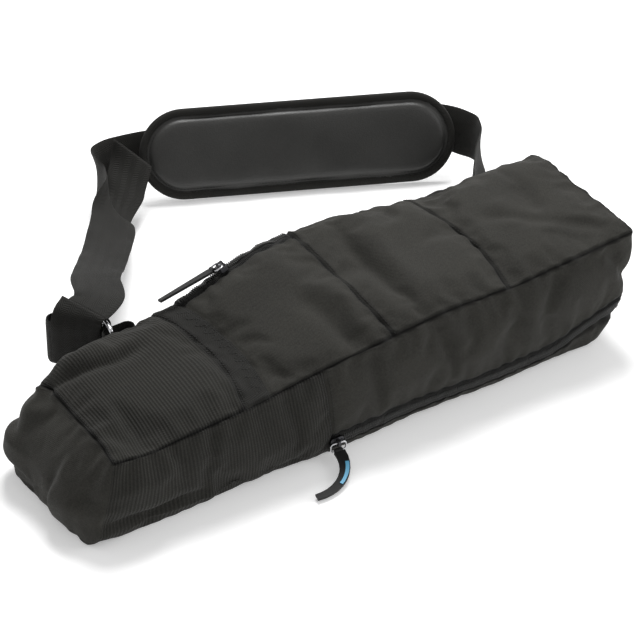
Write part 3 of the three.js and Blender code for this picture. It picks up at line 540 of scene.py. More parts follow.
class Shell:
    """The bag's whole outer surface as one mesh of quads, with the panel that each quad belongs to."""

    def __init__(self):
        self.rings = bowed(np.array([ring(k) for k in range(len(STATIONS))]))
        self.points = list(self.rings.reshape(-1, 3))
        self.quads, self.uvs, self.panels = [], [], []
        self.body()
        self.end(-1)
        self.end(1)
        self.points = np.array(self.points)
        self.quads = np.array(self.quads)
        self.uvs = np.array(self.uvs)

    def body(self):
        loop = np.concatenate([self.rings, self.rings[:, :1]], axis=1)
        steps = np.linalg.norm(np.diff(loop, axis=1), axis=2)
        v = np.concatenate([np.zeros((len(STATIONS), 1)), np.cumsum(steps, axis=1)], axis=1)
        for i in range(len(STATIONS) - 1):
            x = (STATIONS[i] + STATIONS[i + 1]) / 2
            for j in range(AROUND):
                corners = [(i, j), (i + 1, j), (i + 1, j + 1), (i, j + 1)]
                self.quads.append([a * AROUND + b % AROUND for a, b in corners])
                self.uvs.append([(STATIONS[a] * MM, v[a, b] * MM) for a, b in corners])
                self.panels.append(panel_at(x, j))

    def end(self, end):
        row = 0 if end < 0 else len(STATIONS) - 1
        grid = end_wall(self.rings[row], end)
        base = row * AROUND
        across, up = np.arange(ACROSS + 1), np.arange(UP + 1)
        inside = grid[1:-1, 1:-1]
        index = np.zeros((ACROSS + 1, UP + 1), int)
        index[0] = base + ACROSS + up
        index[-1] = base + (AROUND - up) % AROUND
        index[:, 0] = base + ACROSS - across
        index[:, -1] = base + ACROSS + UP + across
        index[1:-1, 1:-1] = len(self.points) + np.arange(inside[..., 0].size).reshape(inside.shape[:2])
        self.points += list(inside.reshape(-1, 3))
        for a in range(ACROSS):
            for b in range(UP):
                corners = [(a, b), (a, b + 1), (a + 1, b + 1), (a + 1, b)]
                if end > 0:
                    corners = corners[::-1]
                self.quads.append([index[c] for c in corners])
                self.uvs.append([(grid[c][1] * MM, grid[c][2] * MM) for c in corners])
                self.panels.append("foot_end_panel" if end < 0 else wall_panel(b, "head"))


def wall_panel(level, side, above="upper_gusset_"):
    """The panel at a level of a wall that the zipper runs along."""
    for top, kind in ((ZIP_LOW_ROW, "lower_gusset"), (ZIP_ROW, "zipper_lower"), (SIDE_ROW, "zipper_upper")):
        if level < top:
            return f"{kind}_{side}"
    return above + side


def panel_at(x, j):
    """The panel at a place along the bag and a cell round it."""
    if j < ACROSS:
        return "base_panel"
    if j < ACROSS + UP or j >= 2 * ACROSS + UP:
        level, side = (j - ACROSS, "near") if j < ACROSS + UP else (AROUND - 1 - j, "far")
        if x < ZIP_START:
            return "sleeve_side_" + side
        return wall_panel(level, side, "hinge_gusset_" if x < LID_EDGE else "upper_gusset_")
    if x < BAND[0]:
        return "sleeve_top_panel"
    if x < BAND[1]:
        return "top_webbing_band"
    if x < LID_EDGE:
        return "pocket_zipper" if j >= 2 * ACROSS + UP - POCKET_ZIP_CELLS else "pocket_panel"
    return "lid_mid_panel" if x < HEAD_SEAM else "lid_head_panel"


shell = Shell()
PANELS = sorted(set(shell.panels))
zone = np.array([PANELS.index(p) for p in shell.panels])

# Panels that run on into each other round a corner, with no seam between them.
RUNS_ON = [{"zipper_lower_" + end, "zipper_upper_" + end} for end in ("near", "far", "head")]
for side in ("near", "far"):
    RUNS_ON.append({"foot_end_panel", "sleeve_side_" + side})
    RUNS_ON.append({"hinge_gusset_" + side, "upper_gusset_" + side})
    for kind in ("lower_gusset_", "upper_gusset_", "zipper_lower_", "zipper_upper_"):
        RUNS_ON.append({kind + side, kind + "head"})

# Seams with no deep line, only stitching.
QUIET = [
    {"top_webbing_band", "pocket_panel"},
    {"sleeve_side_near", "hinge_gusset_near"},
    {"sleeve_side_near", "lower_gusset_near"},
]
QUIET_DEPTH = 0.68


def panel_pairs(pairs):
    return {frozenset(PANELS.index(name) for name in pair) for pair in pairs}


def seam_edges():
    """The edges along which two panels are sewn together, with how deep each seam is."""
    edges = np.sort(sides_of(shell.quads), axis=1)
    owner = np.tile(zone, 4)
    place = np.argsort(edges[:, 0] * len(shell.points) + edges[:, 1], kind="stable")
    runs_on, quiet = panel_pairs(RUNS_ON), panel_pairs(QUIET)
    seams, depth = [], []
    for first, second in zip(place[0::2], place[1::2]):
        pair = frozenset((owner[first], owner[second]))
        if len(pair) == 2 and pair not in runs_on:
            seams.append(edges[first])
            depth.append(QUIET_DEPTH if pair in quiet else 1.0)
    return np.array(seams), np.array(depth)


ROUNDED_CELLS = 6  # along the bag from each end
ROUNDED_ROWS = 4  # over which the rounding eases out below the top's edge


def rounded_corners(points, quads, passes=14):
    """Rounds the two upright corners at each end of the bag, and lets the rest keep its shape."""
    rings = len(STATIONS)
    station = np.arange(rings)
    near_end = np.clip(1 - np.minimum(station, rings - 1 - station) / ROUNDED_CELLS, 0, 1)
    weight = np.zeros((rings, AROUND))
    for j in (*range(ACROSS, ACROSS + UP + 1), *range(2 * ACROSS + UP, AROUND)):
        level = j - ACROSS if j <= ACROSS + UP else AROUND - j
        weight[:, j] = min(1, (UP - level) / ROUNDED_ROWS) * near_end
    weight = np.concatenate([weight.ravel(), np.full(len(points) - rings * AROUND, 0.5)])
    edges = np.unique(np.sort(sides_of(quads), axis=1), axis=0)
    for _ in range(passes):
        points = points + weight[:, None] * 0.5 * (neighbour_mean(points, edges) - points)
    points[:, 2] = np.maximum(points[:, 2], 0)
    return points


# Folds and dents of the slack cloth: the line that each follows, its half width, and its depth (a ridge
# where that is below zero).
FOLDS = [
    ([(-312, 76, 108), (-324, 62, 92), (-332, 58, 62)], 17, -16.0),
    ([(-334, 64, 52), (-336, 66, 20)], 30, -13.0),
    ([(-334, -10, 40), (-332, -50, 34)], 34, -7.0),
    ([(-301, 64, 98), (-312, 46, 95), (-318, 34, 92)], 6.5, 11.0),
    ([(-298, 55, 97), (-267, 43, 107), (-238, 38, 107), (-205, 40, 109)], 7, 6.0),
    ([(-296, 66, 100), (-262, 60, 112), (-225, 62, 112)], 11, -5.0),
    ([(-50, 8, 130), (-38, -30, 121), (-28, -78, 104)], 13, 5.0),
    ([(-22, 20, 136), (-14, -20, 124), (-8, -70, 108)], 12, -3.0),
    ([(33, 62, 143), (35, 13, 133), (40, -31, 123), (51, -76, 110)], 9, 4.0),
    ([(56, 55, 140), (60, 5, 130), (66, -50, 116)], 14, -2.5),
    ([(95, 70, 137), (101, 50, 136)], 7, 3.5),
    ([(176, 16, 125), (227, -21, 124), (275, -60, 122)], 8, 3.0),
    ([(241, 42, 128), (238, -10, 125)], 11, 4.0),
    ([(205, 30, 127), (200, -20, 124)], 13, -3.0),
    ([(286, 20, 127), (288, -30, 126)], 9, 2.5),
    ([(-18, -75, 100), (-16, -85, 50)], 8, 3.5),
    ([(54, -77, 108), (71, -88, 56)], 7, 4.5),
    ([(51, -78, 108), (40, -84, 78)], 6, 3.5),
    ([(62, -78, 106), (90, -88, 70)], 8, -2.5),
    ([(155, -84, 84), (136, -88, 58)], 10, 3.0),
    ([(206, -80, 110), (183, -88, 72)], 9, 3.0),
    ([(-300, -76, 57), (-262, -78, 57), (-235, -78, 64)], 10, -4.0),
    ([(-334, -30, 22), (-318, -76, 27), (-273, -80, 19), (-215, -81, 22)], 6, 5.0),
    ([(-342, 20, 44), (-330, -50, 50), (-305, -78, 44)], 11, 3.0),
    ([(-322, 62, 60), (-322, 70, 36), (-316, 74, 20)], 8, 4.0),
    ([(-242, -68, 84), (-236, -78, 60)], 6, 3.0),
    ([(-196, -72, 86), (-204, -80, 58)], 7, 2.5),
    ([(-118, -74, 92), (-112, -84, 52)], 8, 2.0),
    ([(268, -83, 111), (290, -84, 66)], 9, 4.0),
    ([(300, -40, 108), (300, -60, 60)], 12, 4.0),
    ([(300, 20, 100), (298, 40, 50)], 14, 4.0),
    ([(-60, 88, 120), (-40, 92, 70)], 11, 3.0),
    ([(60, 90, 125), (84, 94, 66)], 10, 4.0),
    ([(180, 88, 118), (160, 93, 62)], 10, 3.5),
    ([(-190, 80, 100), (-200, 85, 50)], 10, 3.0),
    ([(-330, -20, 78), (-336, 30, 66)], 12, 3.5),
]
FOLD_DEPTH = 1.25  # of the depths above


def folded(points, normals):
    for line, width, depth in FOLDS:
        away, share = near_line(points, line)
        ease = np.clip(np.minimum(share, 1 - share) * 5, 0, 1) * 0.7 + 0.3
        push = FOLD_DEPTH * depth * ease * np.exp(-((away / width) ** 2))
        points = points - normals * push[:, None]
    return points


SLOW_WAVE = 1.35
PUCKER = 0.7


def rippled(points, normals, seams):
    """Small puckers that fade away from the seams, and a slow waviness of the cloth."""
    x, y, z = points.T
    along = x + 0.7 * y + 0.4 * z
    slow = np.sin(x / 31 + 1.3 * np.sin(z / 37)) * np.sin(y / 27 + z / 33 + 0.8)
    pucker = np.sin(along / 3.4 + 1.7 * np.sin(along / 15)) * np.clip(seams, 0, 1)
    return points + normals * (SLOW_WAVE * slow + PUCKER * pucker)[:, None]


def spread_from(seed, quads, passes):
    """A value of 1 at the seed points that fades over the mesh's neighbours."""
    edges = sides_of(quads)
    value = seed
    for _ in range(passes):
        value = np.maximum(seed, neighbour_mean(value, edges))
    return value


SIM_FRAMES = 16
SIM_CAP = 7.0  # the furthest that the cloth may move, in millimetres
PINNED = {"sewn": 1.0, "stiff": 0.6}
STIFF = [p for p in PANELS if p.startswith("zipper_") or p in ("base_panel", "top_webbing_band")]


def simulated(points, quads, held):
    """The shell's cloth, slightly larger than its cut and blown out a little, held at its seams."""
    obj = put("cloth", points, quads, "outer_fabric")
    group = obj.vertex_groups.new(name="held")
    for level in PINNED.values():
        group.add(np.nonzero(held == level)[0].tolist(), level, "REPLACE")
    cloth = obj.modifiers.new("cloth", "CLOTH")
    settings = cloth.settings
    settings.quality = 5
    settings.mass = 0.25
    settings.tension_stiffness = settings.compression_stiffness = 12
    settings.shear_stiffness = 6
    settings.bending_stiffness = 1.2
    settings.shrink_min = -0.035
    settings.use_pressure = True
    settings.uniform_pressure_force = 2.5
    settings.vertex_group_mass = "held"
    settings.pin_stiffness = 4
    settings.effector_weights.gravity = 0
    cloth.collision_settings.use_collision = False
    for number in range(1, SIM_FRAMES + 1):
        scene.frame_set(number)
    moved = evaluated(obj)[0]
    bpy.data.objects.remove(obj)
    scene.frame_set(1)
    step = moved - points
    size = np.linalg.norm(step, axis=1, keepdims=True)
    step *= np.minimum(1, SIM_CAP / np.maximum(size, 1e-9))
    return points + step


SEAM_SINK = 2.0
CREASE = 0.45


def made_shell():
    """The bag's coarse cloth, then its fine cloth as points, normals, quads, uvs, zones and seam shares."""
    points = rounded_corners(shell.points, shell.quads)
    points = folded(points, normals_of(points, shell.quads))
    seams, depth = seam_edges()
    on_seam = np.zeros(len(points))
    np.maximum.at(on_seam, seams.ravel(), np.repeat(depth, 2))
    held = np.zeros(len(points))
    for name in STIFF:
        held[np.unique(shell.quads[zone == PANELS.index(name)])] = PINNED["stiff"]
    held[on_seam > 0] = PINNED["sewn"]
    held[points[:, 2] < 1] = PINNED["sewn"]
    points = simulated(points, shell.quads, held)
    coarse = points.copy()
    obj = put("shell", points, shell.quads, "outer_fabric", shell.uvs, on_seam)
    obj.data.attributes.new("zone", "INT", "FACE").data.foreach_set("value", zone.astype(np.int32))
    crease = obj.data.attributes.new("crease_edge", "FLOAT", "EDGE")
    sewn = {tuple(e) for e in seams.tolist()}
    crease.data.foreach_set("value", [CREASE * (tuple(sorted(e.vertices)) in sewn) for e in obj.data.edges])
    finer = obj.modifiers.new("finer", "SUBSURF")
    finer.levels = finer.render_levels = 1
    points, quads, held = evaluated(obj)
    bpy.data.objects.remove(obj)
    seam = np.clip(held["seam"] * 2 - 1, 0, 1)
    near = spread_from(seam, quads, 8)
    normals = normals_of(points, quads)
    points = rippled(points, normals, near * 1.6)
    points = points - normals * (SEAM_SINK * seam - 0.5 * (near - seam))[:, None]
    points[:, 2] = np.maximum(points[:, 2], 0.0)
    return coarse, points, normals_of(points, quads), quads, held["uvs"], held["zone"], near


coarse, points, normals, quads, uvs, fine_zone, seam_share = made_shell()
surface = BVHTree.FromPolygons(points.tolist(), quads.tolist())

PANELS_ON = {
    "case": """base_panel sleeve_side_near sleeve_side_far sleeve_top_panel top_webbing_band
        lower_gusset_near lower_gusset_far lower_gusset_head
        zipper_lower_near zipper_lower_far zipper_lower_head foot_end_panel""",
    "lid": """lid_mid_panel lid_head_panel upper_gusset_near upper_gusset_far upper_gusset_head
        zipper_upper_head""",
    "hinge": """hinge_gusset_near hinge_gusset_far pocket_panel pocket_zipper
        zipper_upper_near zipper_upper_far""",
}
SLOTS = {row["node"]: row["material_slot"] for row in frame["record"]["subparts"]}
CLOTH = 2.0


def attach(obj, body):
    """Rides on a body, or, for the hinge, has its transform baked in and rides on no body."""
    if body == "hinge":
        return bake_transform(obj)
    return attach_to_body(obj, body)


def shown(obj, slot, body, *nodes):
    """Hides the CAD nodes that a piece stands for and gives the piece its body. slot is not used."""
    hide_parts(*nodes)
    attach(obj, body)


for body, names in PANELS_ON.items():
    for panel in names.split():
        chosen = fine_zone == PANELS.index(panel)
        sheet = (quads[chosen], uvs[chosen], seam_share)
        cloth = slab(panel + "_cloth", points, normals, *sheet, 0.0, CLOTH, SLOTS[panel])
        nodes = [panel, "hinge_panel"] if panel == "pocket_panel" else [panel]
        shown(cloth, SLOTS[panel], body, *nodes)

# ---- foam with its lining ----
FOAM = (5.2, 9.6)  # depths of its two faces under the cloth
TRIM = 3  # cells by which the foam stops short of the bag's edges
LENGTHS = {
    "sleeve": ("case", -HALF, ZIP_START),
    "hinge": ("hinge", ZIP_START, LID_EDGE),
    "lid": ("lid", LID_EDGE, HALF),
}
WALLS = {
    "base": (1, ACROSS - 1),
    "near": (ACROSS + SIDE_ROW, ACROSS + UP - TRIM),
    "top": (ACROSS + UP + TRIM, 2 * ACROSS + UP - TRIM),
    "far": (2 * ACROSS + UP + TRIM, AROUND - SIDE_ROW),
}


def wall_cells(wall, low, high):
    """The quads of one wall between two places along the bag."""
    rows = [i for i in range(TRIM, len(STATIONS) - 1 - TRIM) if low <= STATIONS[i] < high]
    return [i * AROUND + j for i in rows for j in range(*WALLS[wall])]


def end_cells(end, low, high):
    """The quads of one end of the bag between two levels."""
    start = (len(STATIONS) - 1) * AROUND + (0 if end < 0 else ACROSS * UP)
    return [start + a * UP + b for a in range(TRIM, ACROSS - TRIM) for b in range(low, high)]


def lining(name, body, cells):
    chosen = shell.quads[cells]
    facing = normals_of(coarse, chosen)
    plain = np.zeros(len(coarse))
    obj = slab(name, coarse, facing, chosen, shell.uvs[cells], plain, *FOAM, "foam_lining")
    shown(obj, "foam_lining", body, name.replace("lining", "foam"))


lining("base_lining", "case", wall_cells("base", -HALF, HALF))
for part, (body, low, high) in LENGTHS.items():
    for wall in ("top", "near", "far"):
        lining(f"{part}_lining_{wall}", body, wall_cells(wall, low, high))
lining("foot_lining", "case", end_cells(-1, TRIM, UP - TRIM))
lining("head_lining_lower", "case", end_cells(1, TRIM, ZIP_ROW - 1))
lining("head_lining_upper", "lid", end_cells(1, SIDE_ROW, UP - TRIM))


# ---- lines sewn on the bag ----
ROD_SIDES = 6


def rod():
    """A rod along X with rounded ends, from -1 to 1, and radius 1 across."""
    rings = [(-0.895, 0.7), (-0.7, 1.0), (0.7, 1.0), (0.895, 0.7)]
    turns = np.arange(ROD_SIDES) * 2 * math.pi / ROD_SIDES
    verts = [(x, r * math.cos(a), r * math.sin(a)) for x, r in rings for a in turns]
    first, last = len(verts), len(verts) + 1
    faces = numbered(grid_quads(len(rings) - 1, ROD_SIDES), len(rings), ROD_SIDES)
    for k in range(ROD_SIDES):
        n = (k + 1) % ROD_SIDES
        faces += [(first, n, k), (last, first - ROD_SIDES + k, first - ROD_SIDES + n)]
    return np.array(verts + [(-1, 0, 0), (1, 0, 0)]), faces


ROD_POINTS, ROD_FACES = rod()


def rods(name, middles, ways, outs, size, look):
    """Many small rods in one mesh, each along its way, with its length, width and height, up along out."""
    ways = unit(ways)
    outs = unit(outs - ways * (outs * ways).sum(1, keepdims=True))
    axes = np.stack([ways, np.cross(outs, ways), outs], axis=1)
    verts = middles[:, None] + ROD_POINTS * np.array(size) / 2 @ axes
    count = len(ROD_POINTS)
    faces = [[v + k * count for v in f] for k in range(len(middles)) for f in ROD_FACES]
    return put(name, verts.reshape(-1, 3), faces, look)


grid = coarse[: len(STATIONS) * AROUND].reshape(len(STATIONS), AROUND, 3)


def grid_at(x, j):
    """A point of the cloth at station x and place j round the outline, both of them fractions of a cell."""
    i = np.clip(np.searchsorted(STATIONS, x, side="right") - 1, 0, len(STATIONS) - 2)
    t = (x - STATIONS[i]) / (STATIONS[i + 1] - STATIONS[i])
    low = int(math.floor(j))
    s = j - low
    rows = [grid[k, low % AROUND] * (1 - s) + grid[k, (low + 1) % AROUND] * s for k in (i, i + 1)]
    return rows[0] * (1 - t) + rows[1] * t


def spaced(line, pitch, start=0.0):
    """Points along a polyline at an even pitch, with the way that the line goes there."""
    line = np.asarray(line, float)
    far = np.concatenate([[0], np.cumsum(np.linalg.norm(np.diff(line, axis=0), axis=1))])
    at = np.arange(start, far[-1], pitch)
    here, ahead, behind = (
        np.column_stack([np.interp(at + step, far, line[:, k]) for k in range(3)]) for step in (0, 0.5, -0.5)
    )
    return here, ahead - behind


def on_cloth(middles, lift=0.0):
    """The nearest points of the finished cloth, with its normals."""
    found = [surface.find_nearest(Vector(m)) for m in middles]
    outs = np.array([f[1] for f in found])
    return np.array([f[0] for f in found]) + outs * lift, outs


def cross_line(x, first, last, steps=60):
    return [grid_at(x, j) for j in np.linspace(first, last, steps)]


def long_line(j, low, high, steps=160):
    return [grid_at(x, j) for x in np.linspace(low, high, steps)]


def zigzag(x0, x1, first, last, turns):
    stops = np.linspace(first, last, turns)
    line = [grid_at(x0 if k % 2 else x1, j) for k, j in enumerate(stops)]
    return [a + (b - a) * t for a, b in zip(line, line[1:]) for t in (0, 0.5)]


STITCH = (2.7, 0.75, 0.7)
STITCH_PITCH = 3.6


def stitched(body, lines):
    """One mesh of the stitches along several lines on the cloth."""
    parts = [spaced(line, STITCH_PITCH) for line in lines]
    middles, ways = (np.concatenate(rows) for rows in zip(*parts))
    middles, outs = on_cloth(middles, 0.1)
    attach(rods("stitches_" + body, middles, ways, outs, STITCH, "thread"), body)


TOP_NEAR = ACROSS + UP
TOP_FAR = 2 * ACROSS + UP
NEAR_TAPE_LOW = ACROSS + ZIP_LOW_ROW
NEAR_TAPE_HIGH = ACROSS + SIDE_ROW
FAR_TAPE_LOW = AROUND - ZIP_LOW_ROW
FAR_TAPE_HIGH = AROUND - SIDE_ROW
STRIP = TOP_FAR - POCKET_ZIP_CELLS


INSET = 0.7  # cells between the top's edges and the ends of the lines across it


def top_line(x):
    return cross_line(x, TOP_NEAR + INSET, TOP_FAR - INSET)


stitched(
    "case",
    [
        *(top_line(x) for x in (BAND[0] + 2.2, BAND[1] - 2.2, -HALF + 3)),
        zigzag(BAND[1] - 4, BAND[1] - 14, TOP_NEAR + 2, TOP_FAR - 4, 24),
        *(cross_line(x, ACROSS + 5, TOP_NEAR - 0.5) for x in (ZIP_START - 3, ZIP_START - 6.5)),
        cross_line(ZIP_START - 3, TOP_FAR + 0.5, AROUND - 5),
        *(long_line(j, ZIP_START + 2, HALF - 4) for j in (NEAR_TAPE_LOW - 0.5, FAR_TAPE_LOW + 0.5)),
    ],
)
stitched(
    "hinge",
    [
        cross_line(ZIP_START + 3, NEAR_TAPE_HIGH + 0.5, TOP_NEAR - 0.5),
        cross_line(ZIP_START + 3, TOP_FAR + 0.5, FAR_TAPE_HIGH - 0.5),
        *(long_line(j, ZIP_START + 3, HALF - 4) for j in (NEAR_TAPE_HIGH + 0.5, FAR_TAPE_HIGH - 0.5)),
        long_line(STRIP - 0.35, BAND[1] + 2, LID_EDGE - 2, 60),
        cross_line(LID_EDGE - 2.5, TOP_NEAR + INSET, STRIP - 0.5),
    ],
)
stitched("lid", [top_line(x) for x in (LID_EDGE + 3, HEAD_SEAM + 3, HALF - 3)])

# ---- zipper coils ----
COIL = (5.2, 1.35, 2.2)
COIL_PITCH = 2.1
COIL_LINES = {
    "near": long_line(ACROSS + ZIP_ROW, ZIP_START + 12, HALF, 200),
    "head": end_wall(grid[-1], 1)[:, ZIP_ROW],
    "far": long_line(AROUND - ZIP_ROW, ZIP_START + 12, HALF, 200),
}


def coil(name, body, line, side, facing=1):
    """One row of a coil zipper's teeth. side is 1 above the zipper's middle and -1 below it."""
    middles, ways = spaced(line, COIL_PITCH, COIL_PITCH * (0.75 if side > 0 else 0.25))
    middles, outs = on_cloth(middles, 0.55)
    across = unit(np.cross(outs, ways)) * facing
    middles = middles + across * side * (COIL[0] / 2 - 0.9)
    attach(rods(name, middles, across, outs, COIL, "coil"), body)


for place, line in COIL_LINES.items():
    facing = -1 if place == "far" else 1
    coil("coil_lower_" + place, "case", line, -1, facing)
    coil("coil_upper_" + place, "lid" if place == "head" else "hinge", line, 1, facing)
pocket_line = long_line(TOP_FAR - 2, BAND[1] + 3, LID_EDGE - 4, 80)
coil("coil_pocket_low", "hinge", pocket_line, -1)
coil("coil_pocket_high", "hinge", pocket_line, 1)

# ---- webbing ----
WEBBING = 50
WEB_THICK = 2.2


def smooth_run(stations, step=3.0, closed=False):
    """Centres and width directions along a smooth curve through the stations."""
    rows = np.array([np.concatenate([c, w]) for c, w in stations], float)
    if closed:
        rows = np.concatenate([rows, rows[:1]])
    gaps = np.linalg.norm(np.diff(rows[:, :3], axis=0), axis=1)
    t = np.concatenate([[0], np.cumsum(gaps)])
    if closed:
        before, after = np.roll(rows[:-1], 1, axis=0), np.roll(rows[:-1], -1, axis=0)
        span = (gaps + np.roll(gaps, 1))[:, None]
        slope = (after - before) / span
        slope = np.concatenate([slope, slope[:1]])
    else:
        slope = np.gradient(rows, t, axis=0)
    count = max(2, int(t[-1] / step))
    at = np.linspace(0, t[-1], count + 1)[: -1 if closed else None]
    k = np.clip(np.searchsorted(t, at, side="right") - 1, 0, len(t) - 2)
    h = gaps[k][:, None]
    u = ((at - t[k]) / gaps[k])[:, None]
    a = rows[k] * (2 * u**3 - 3 * u**2 + 1) + rows[k + 1] * (3 * u**2 - 2 * u**3)
    a += slope[k] * h * (u**3 - 2 * u**2 + u) + slope[k + 1] * h * (u**3 - u**2)
    return a[:, :3], a[:, 3:], at


FACE_STEPS = 14  # across each face of a strap


def strap_mesh(name, runs, width=WEBBING, thick=WEB_THICK, cup=0.0, wave=0.35):
    """Flat straps with rounded edges, in one mesh. Each run is (stations, closed).

    Without a width, each station's own direction is as long as the strap is wide there."""
    share = np.sin(np.linspace(-math.pi / 2, math.pi / 2, FACE_STEPS + 1))
    lips = np.clip(1 - share**16, 0.12, 1)
    verts, faces, uvs, base = [], [], [], 0
    for stations, closed in runs:
        centres, wides, far = smooth_run(stations, closed=closed)
        if closed:
            ahead = unit(np.roll(centres, -1, axis=0) - np.roll(centres, 1, axis=0))
        else:
            ahead = unit(np.gradient(centres, axis=0))
        spans = np.linalg.norm(wides, axis=1, keepdims=True)
        if width:
            spans = np.full_like(spans, width)
            wides = wides - ahead * (wides * ahead).sum(1, keepdims=True)
        wides = unit(wides)
        outs = unit(np.cross(ahead, wides))[:, None]
        reach = (wides * spans / 2)[:, None]
        ripple = np.sin(far / 17)[:, None] * share + 0.6 * np.sin(far / 6.1 + 2)[:, None] * share**3
        level = cup * share**2 + wave * ripple
        front = centres[:, None] + reach * share[:, None] + outs * (level + lips * thick / 2)[..., None]
        rear = centres[:, None] + reach * share[:, None] + outs * (level - lips * thick / 2)[..., None]
        loop = np.concatenate([front, rear[:, ::-1]], axis=1)
        rows, cols = loop.shape[:2]
        u = np.append(far, far[-1] + far[1]) * MM
        v = np.concatenate([share, share[::-1]]) * spans.mean() / 2 * MM
        quads = grid_quads(rows if closed else rows - 1, cols)
        run_faces = numbered(quads, rows, cols)
        uvs += [(u[a], v[b % cols]) for quad in quads for a, b in quad]
        if not closed:
            for i, way in ((0, -1), (rows - 1, 1)):
                for j in range(FACE_STEPS):
                    run_faces.append([i * cols + k for k in (j, j + 1, cols - 2 - j, cols - 1 - j)][::way])
                    uvs += [(u[i], v[j])] * 4
        faces += [[base + k for k in face] for face in run_faces]
        verts.append(loop.reshape(-1, 3))
        base += rows * cols
    return put(name, np.concatenate(verts), faces, "webbing", uvs)


def run_length(stations, closed=False):
    centres, _, _ = smooth_run(stations, closed=closed)
    if closed:
        centres = np.concatenate([centres, centres[:1]])
    return float(np.linalg.norm(np.diff(centres, axis=0), axis=1).sum())


def strap_piece(name, node, body, runs, held, rests_on, flat_width=None, bend=None, **shape):
    """A strap, with the CAD node that it stands for hidden. With bend, its transform is baked in and it rides
    on no body; without, it rides on its body.
    """
    obj = strap_mesh(name, runs, **shape)
    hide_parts(node)
    if bend:
        start, end = (tuple(np.array(point) * MM) for point in bend)
        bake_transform(obj)
        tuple(start)
        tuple(end)
    else:
        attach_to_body(obj, body)
    total = sum(run_length(*run) for run in runs)
    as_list(rests_on)


UPWARD = np.array([0.0, 0.0, 1.0])
PAD_MIDDLE = np.array([175.0, 339.0, 47.0])
PAD_ALONG = unit((0.898, -0.44, 0))
PAD_LEAN = math.radians(27)
PAD_UP = np.array([-PAD_ALONG[1] * math.sin(PAD_LEAN), PAD_ALONG[0] * math.sin(PAD_LEAN), math.cos(PAD_LEAN)])
PAD_FRONT = np.cross(PAD_ALONG, PAD_UP)
PAD_LENGTH = 350
PAD_HEIGHT = 100
WEB_LEVEL = -6.5
RING = {"width": 24, "height": 60, "radius": 3.75, "wire": 4.5}  # the radius is of the wire's middle
BARS = (RING["width"] - RING["wire"]) / 2
TAB_LENGTH = 36
TAB_OVERLAP = 8
ENDS = {
    "left": {
        "ring": np.array([-205.5, 104.5, 72]), "ring_way": unit((0.156, 0.988, 0)), "wide": UPWARD,
        "tab_way": np.array([1.0, 0, 0]), "tongue": 34, "tongue_side": -1, "tab_depth": 16,
        "tab_room": 9, "bar_room": 2.6, "loop_length": 66, "loop_depth": 18, "slack": 2,
        "loop_way": unit((-0.719, 0.695, 0)),
    },
    "right": {
        "ring": np.array([228, 130.7, 6.9]), "ring_way": np.array([0, 1.0, 0]), "wide": np.array([1.0, 0, 0]),
        "tab_way": np.array([0, -1.0, 0]), "tongue": 13, "tongue_side": 1, "tab_depth": 11.6,
        "tab_room": 5.8, "bar_room": 0, "loop_length": 40, "loop_depth": 12, "slack": 0,
        "loop_way": unit((0, 0.93, 0.36)),
    },
}


def band_stations(middle, way, wide, length, depth):
    """A closed band of webbing, long along way."""
    up = np.cross(wide, way)
    radius = (depth - WEB_THICK) / 2
    straight = length / 2 - depth / 2
    stations = []
    for sign in (1, -1):
        for t in np.linspace(-1, 1, 5)[:-1]:
            stations.append(middle + way * straight * t * sign - up * radius * sign)
        for turn in np.linspace(-math.pi / 2, math.pi / 2, 7)[:-1]:
            bend = way * (straight + radius * math.cos(turn)) + up * radius * math.sin(turn)
            stations.append(middle + bend * sign)
    return [(c, wide) for c in stations]


def anchor(side):
    """The tab and the strap's loop at one end, round the ring's two bars. Returns the loop's middle."""
    e = ENDS[side]
    loop_middle = e["ring"] + e["ring_way"] * BARS
    loop_middle = loop_middle + e["loop_way"] * ((e["loop_length"] - e["loop_depth"]) / 2 + e["slack"])
    loop = band_stations(loop_middle, e["loop_way"], e["wide"], e["loop_length"], e["loop_depth"])
    folded_on = ("folded", [f"strap_ring_{side}"])
    strap_piece(f"loop_webbing_{side}", f"strap_loop_{side}", "case", [(loop, True)], *folded_on, wave=0.2)
    tab_middle = e["ring"] - e["ring_way"] * BARS + e["tab_way"] * (TAB_LENGTH / 2 - e["tab_room"])
    tab_middle = tab_middle + e["ring_way"] * e["bar_room"]
    tab = band_stations(tab_middle, e["tab_way"], e["wide"], TAB_LENGTH, e["tab_depth"])
    up = np.cross(e["wide"], e["tab_way"])
    level = tab_middle + up * e["tongue_side"] * (e["tab_depth"] - WEB_THICK) / 2
    start = TAB_LENGTH / 2 - TAB_OVERLAP
    tongue = [(level + e["tab_way"] * (start + e["tongue"] * t), e["wide"]) for t in (0, 0.5, 1)]
    runs = [(tab, True), (tongue, False)]
    strap_piece(f"tab_webbing_{side}", f"strap_tab_{side}", "case", runs, *folded_on, wave=0.1)
    return loop_middle


WIRE_SIDES = 12


def wire_ring(name, node, body, middle, way, wide, width, height, radius, wire):
    """A bent wire ring: a rounded rectangle, width along way and height along wide."""
    reach, rise = (width - wire) / 2 - radius, (height - wire) / 2 - radius
    normal = np.cross(way, wide)
    verts = []
    for quarter, (sx, sy) in enumerate(((1, 1), (-1, 1), (-1, -1), (1, -1))):
        for turn in np.linspace(0, math.pi / 2, 7) + quarter * math.pi / 2:
            out = way * math.cos(turn) + wide * math.sin(turn)
            place = middle + way * reach * sx + wide * rise * sy + out * radius
            for b in np.arange(WIRE_SIDES) * 2 * math.pi / WIRE_SIDES:
                verts.append(place + (out * math.cos(b) + normal * math.sin(b)) * wire / 2)
    rows = len(verts) // WIRE_SIDES
    faces = numbered(grid_quads(rows, WIRE_SIDES, flip=True), rows, WIRE_SIDES)
    shown(put(name, verts, faces, "steel"), "steel", body, node)


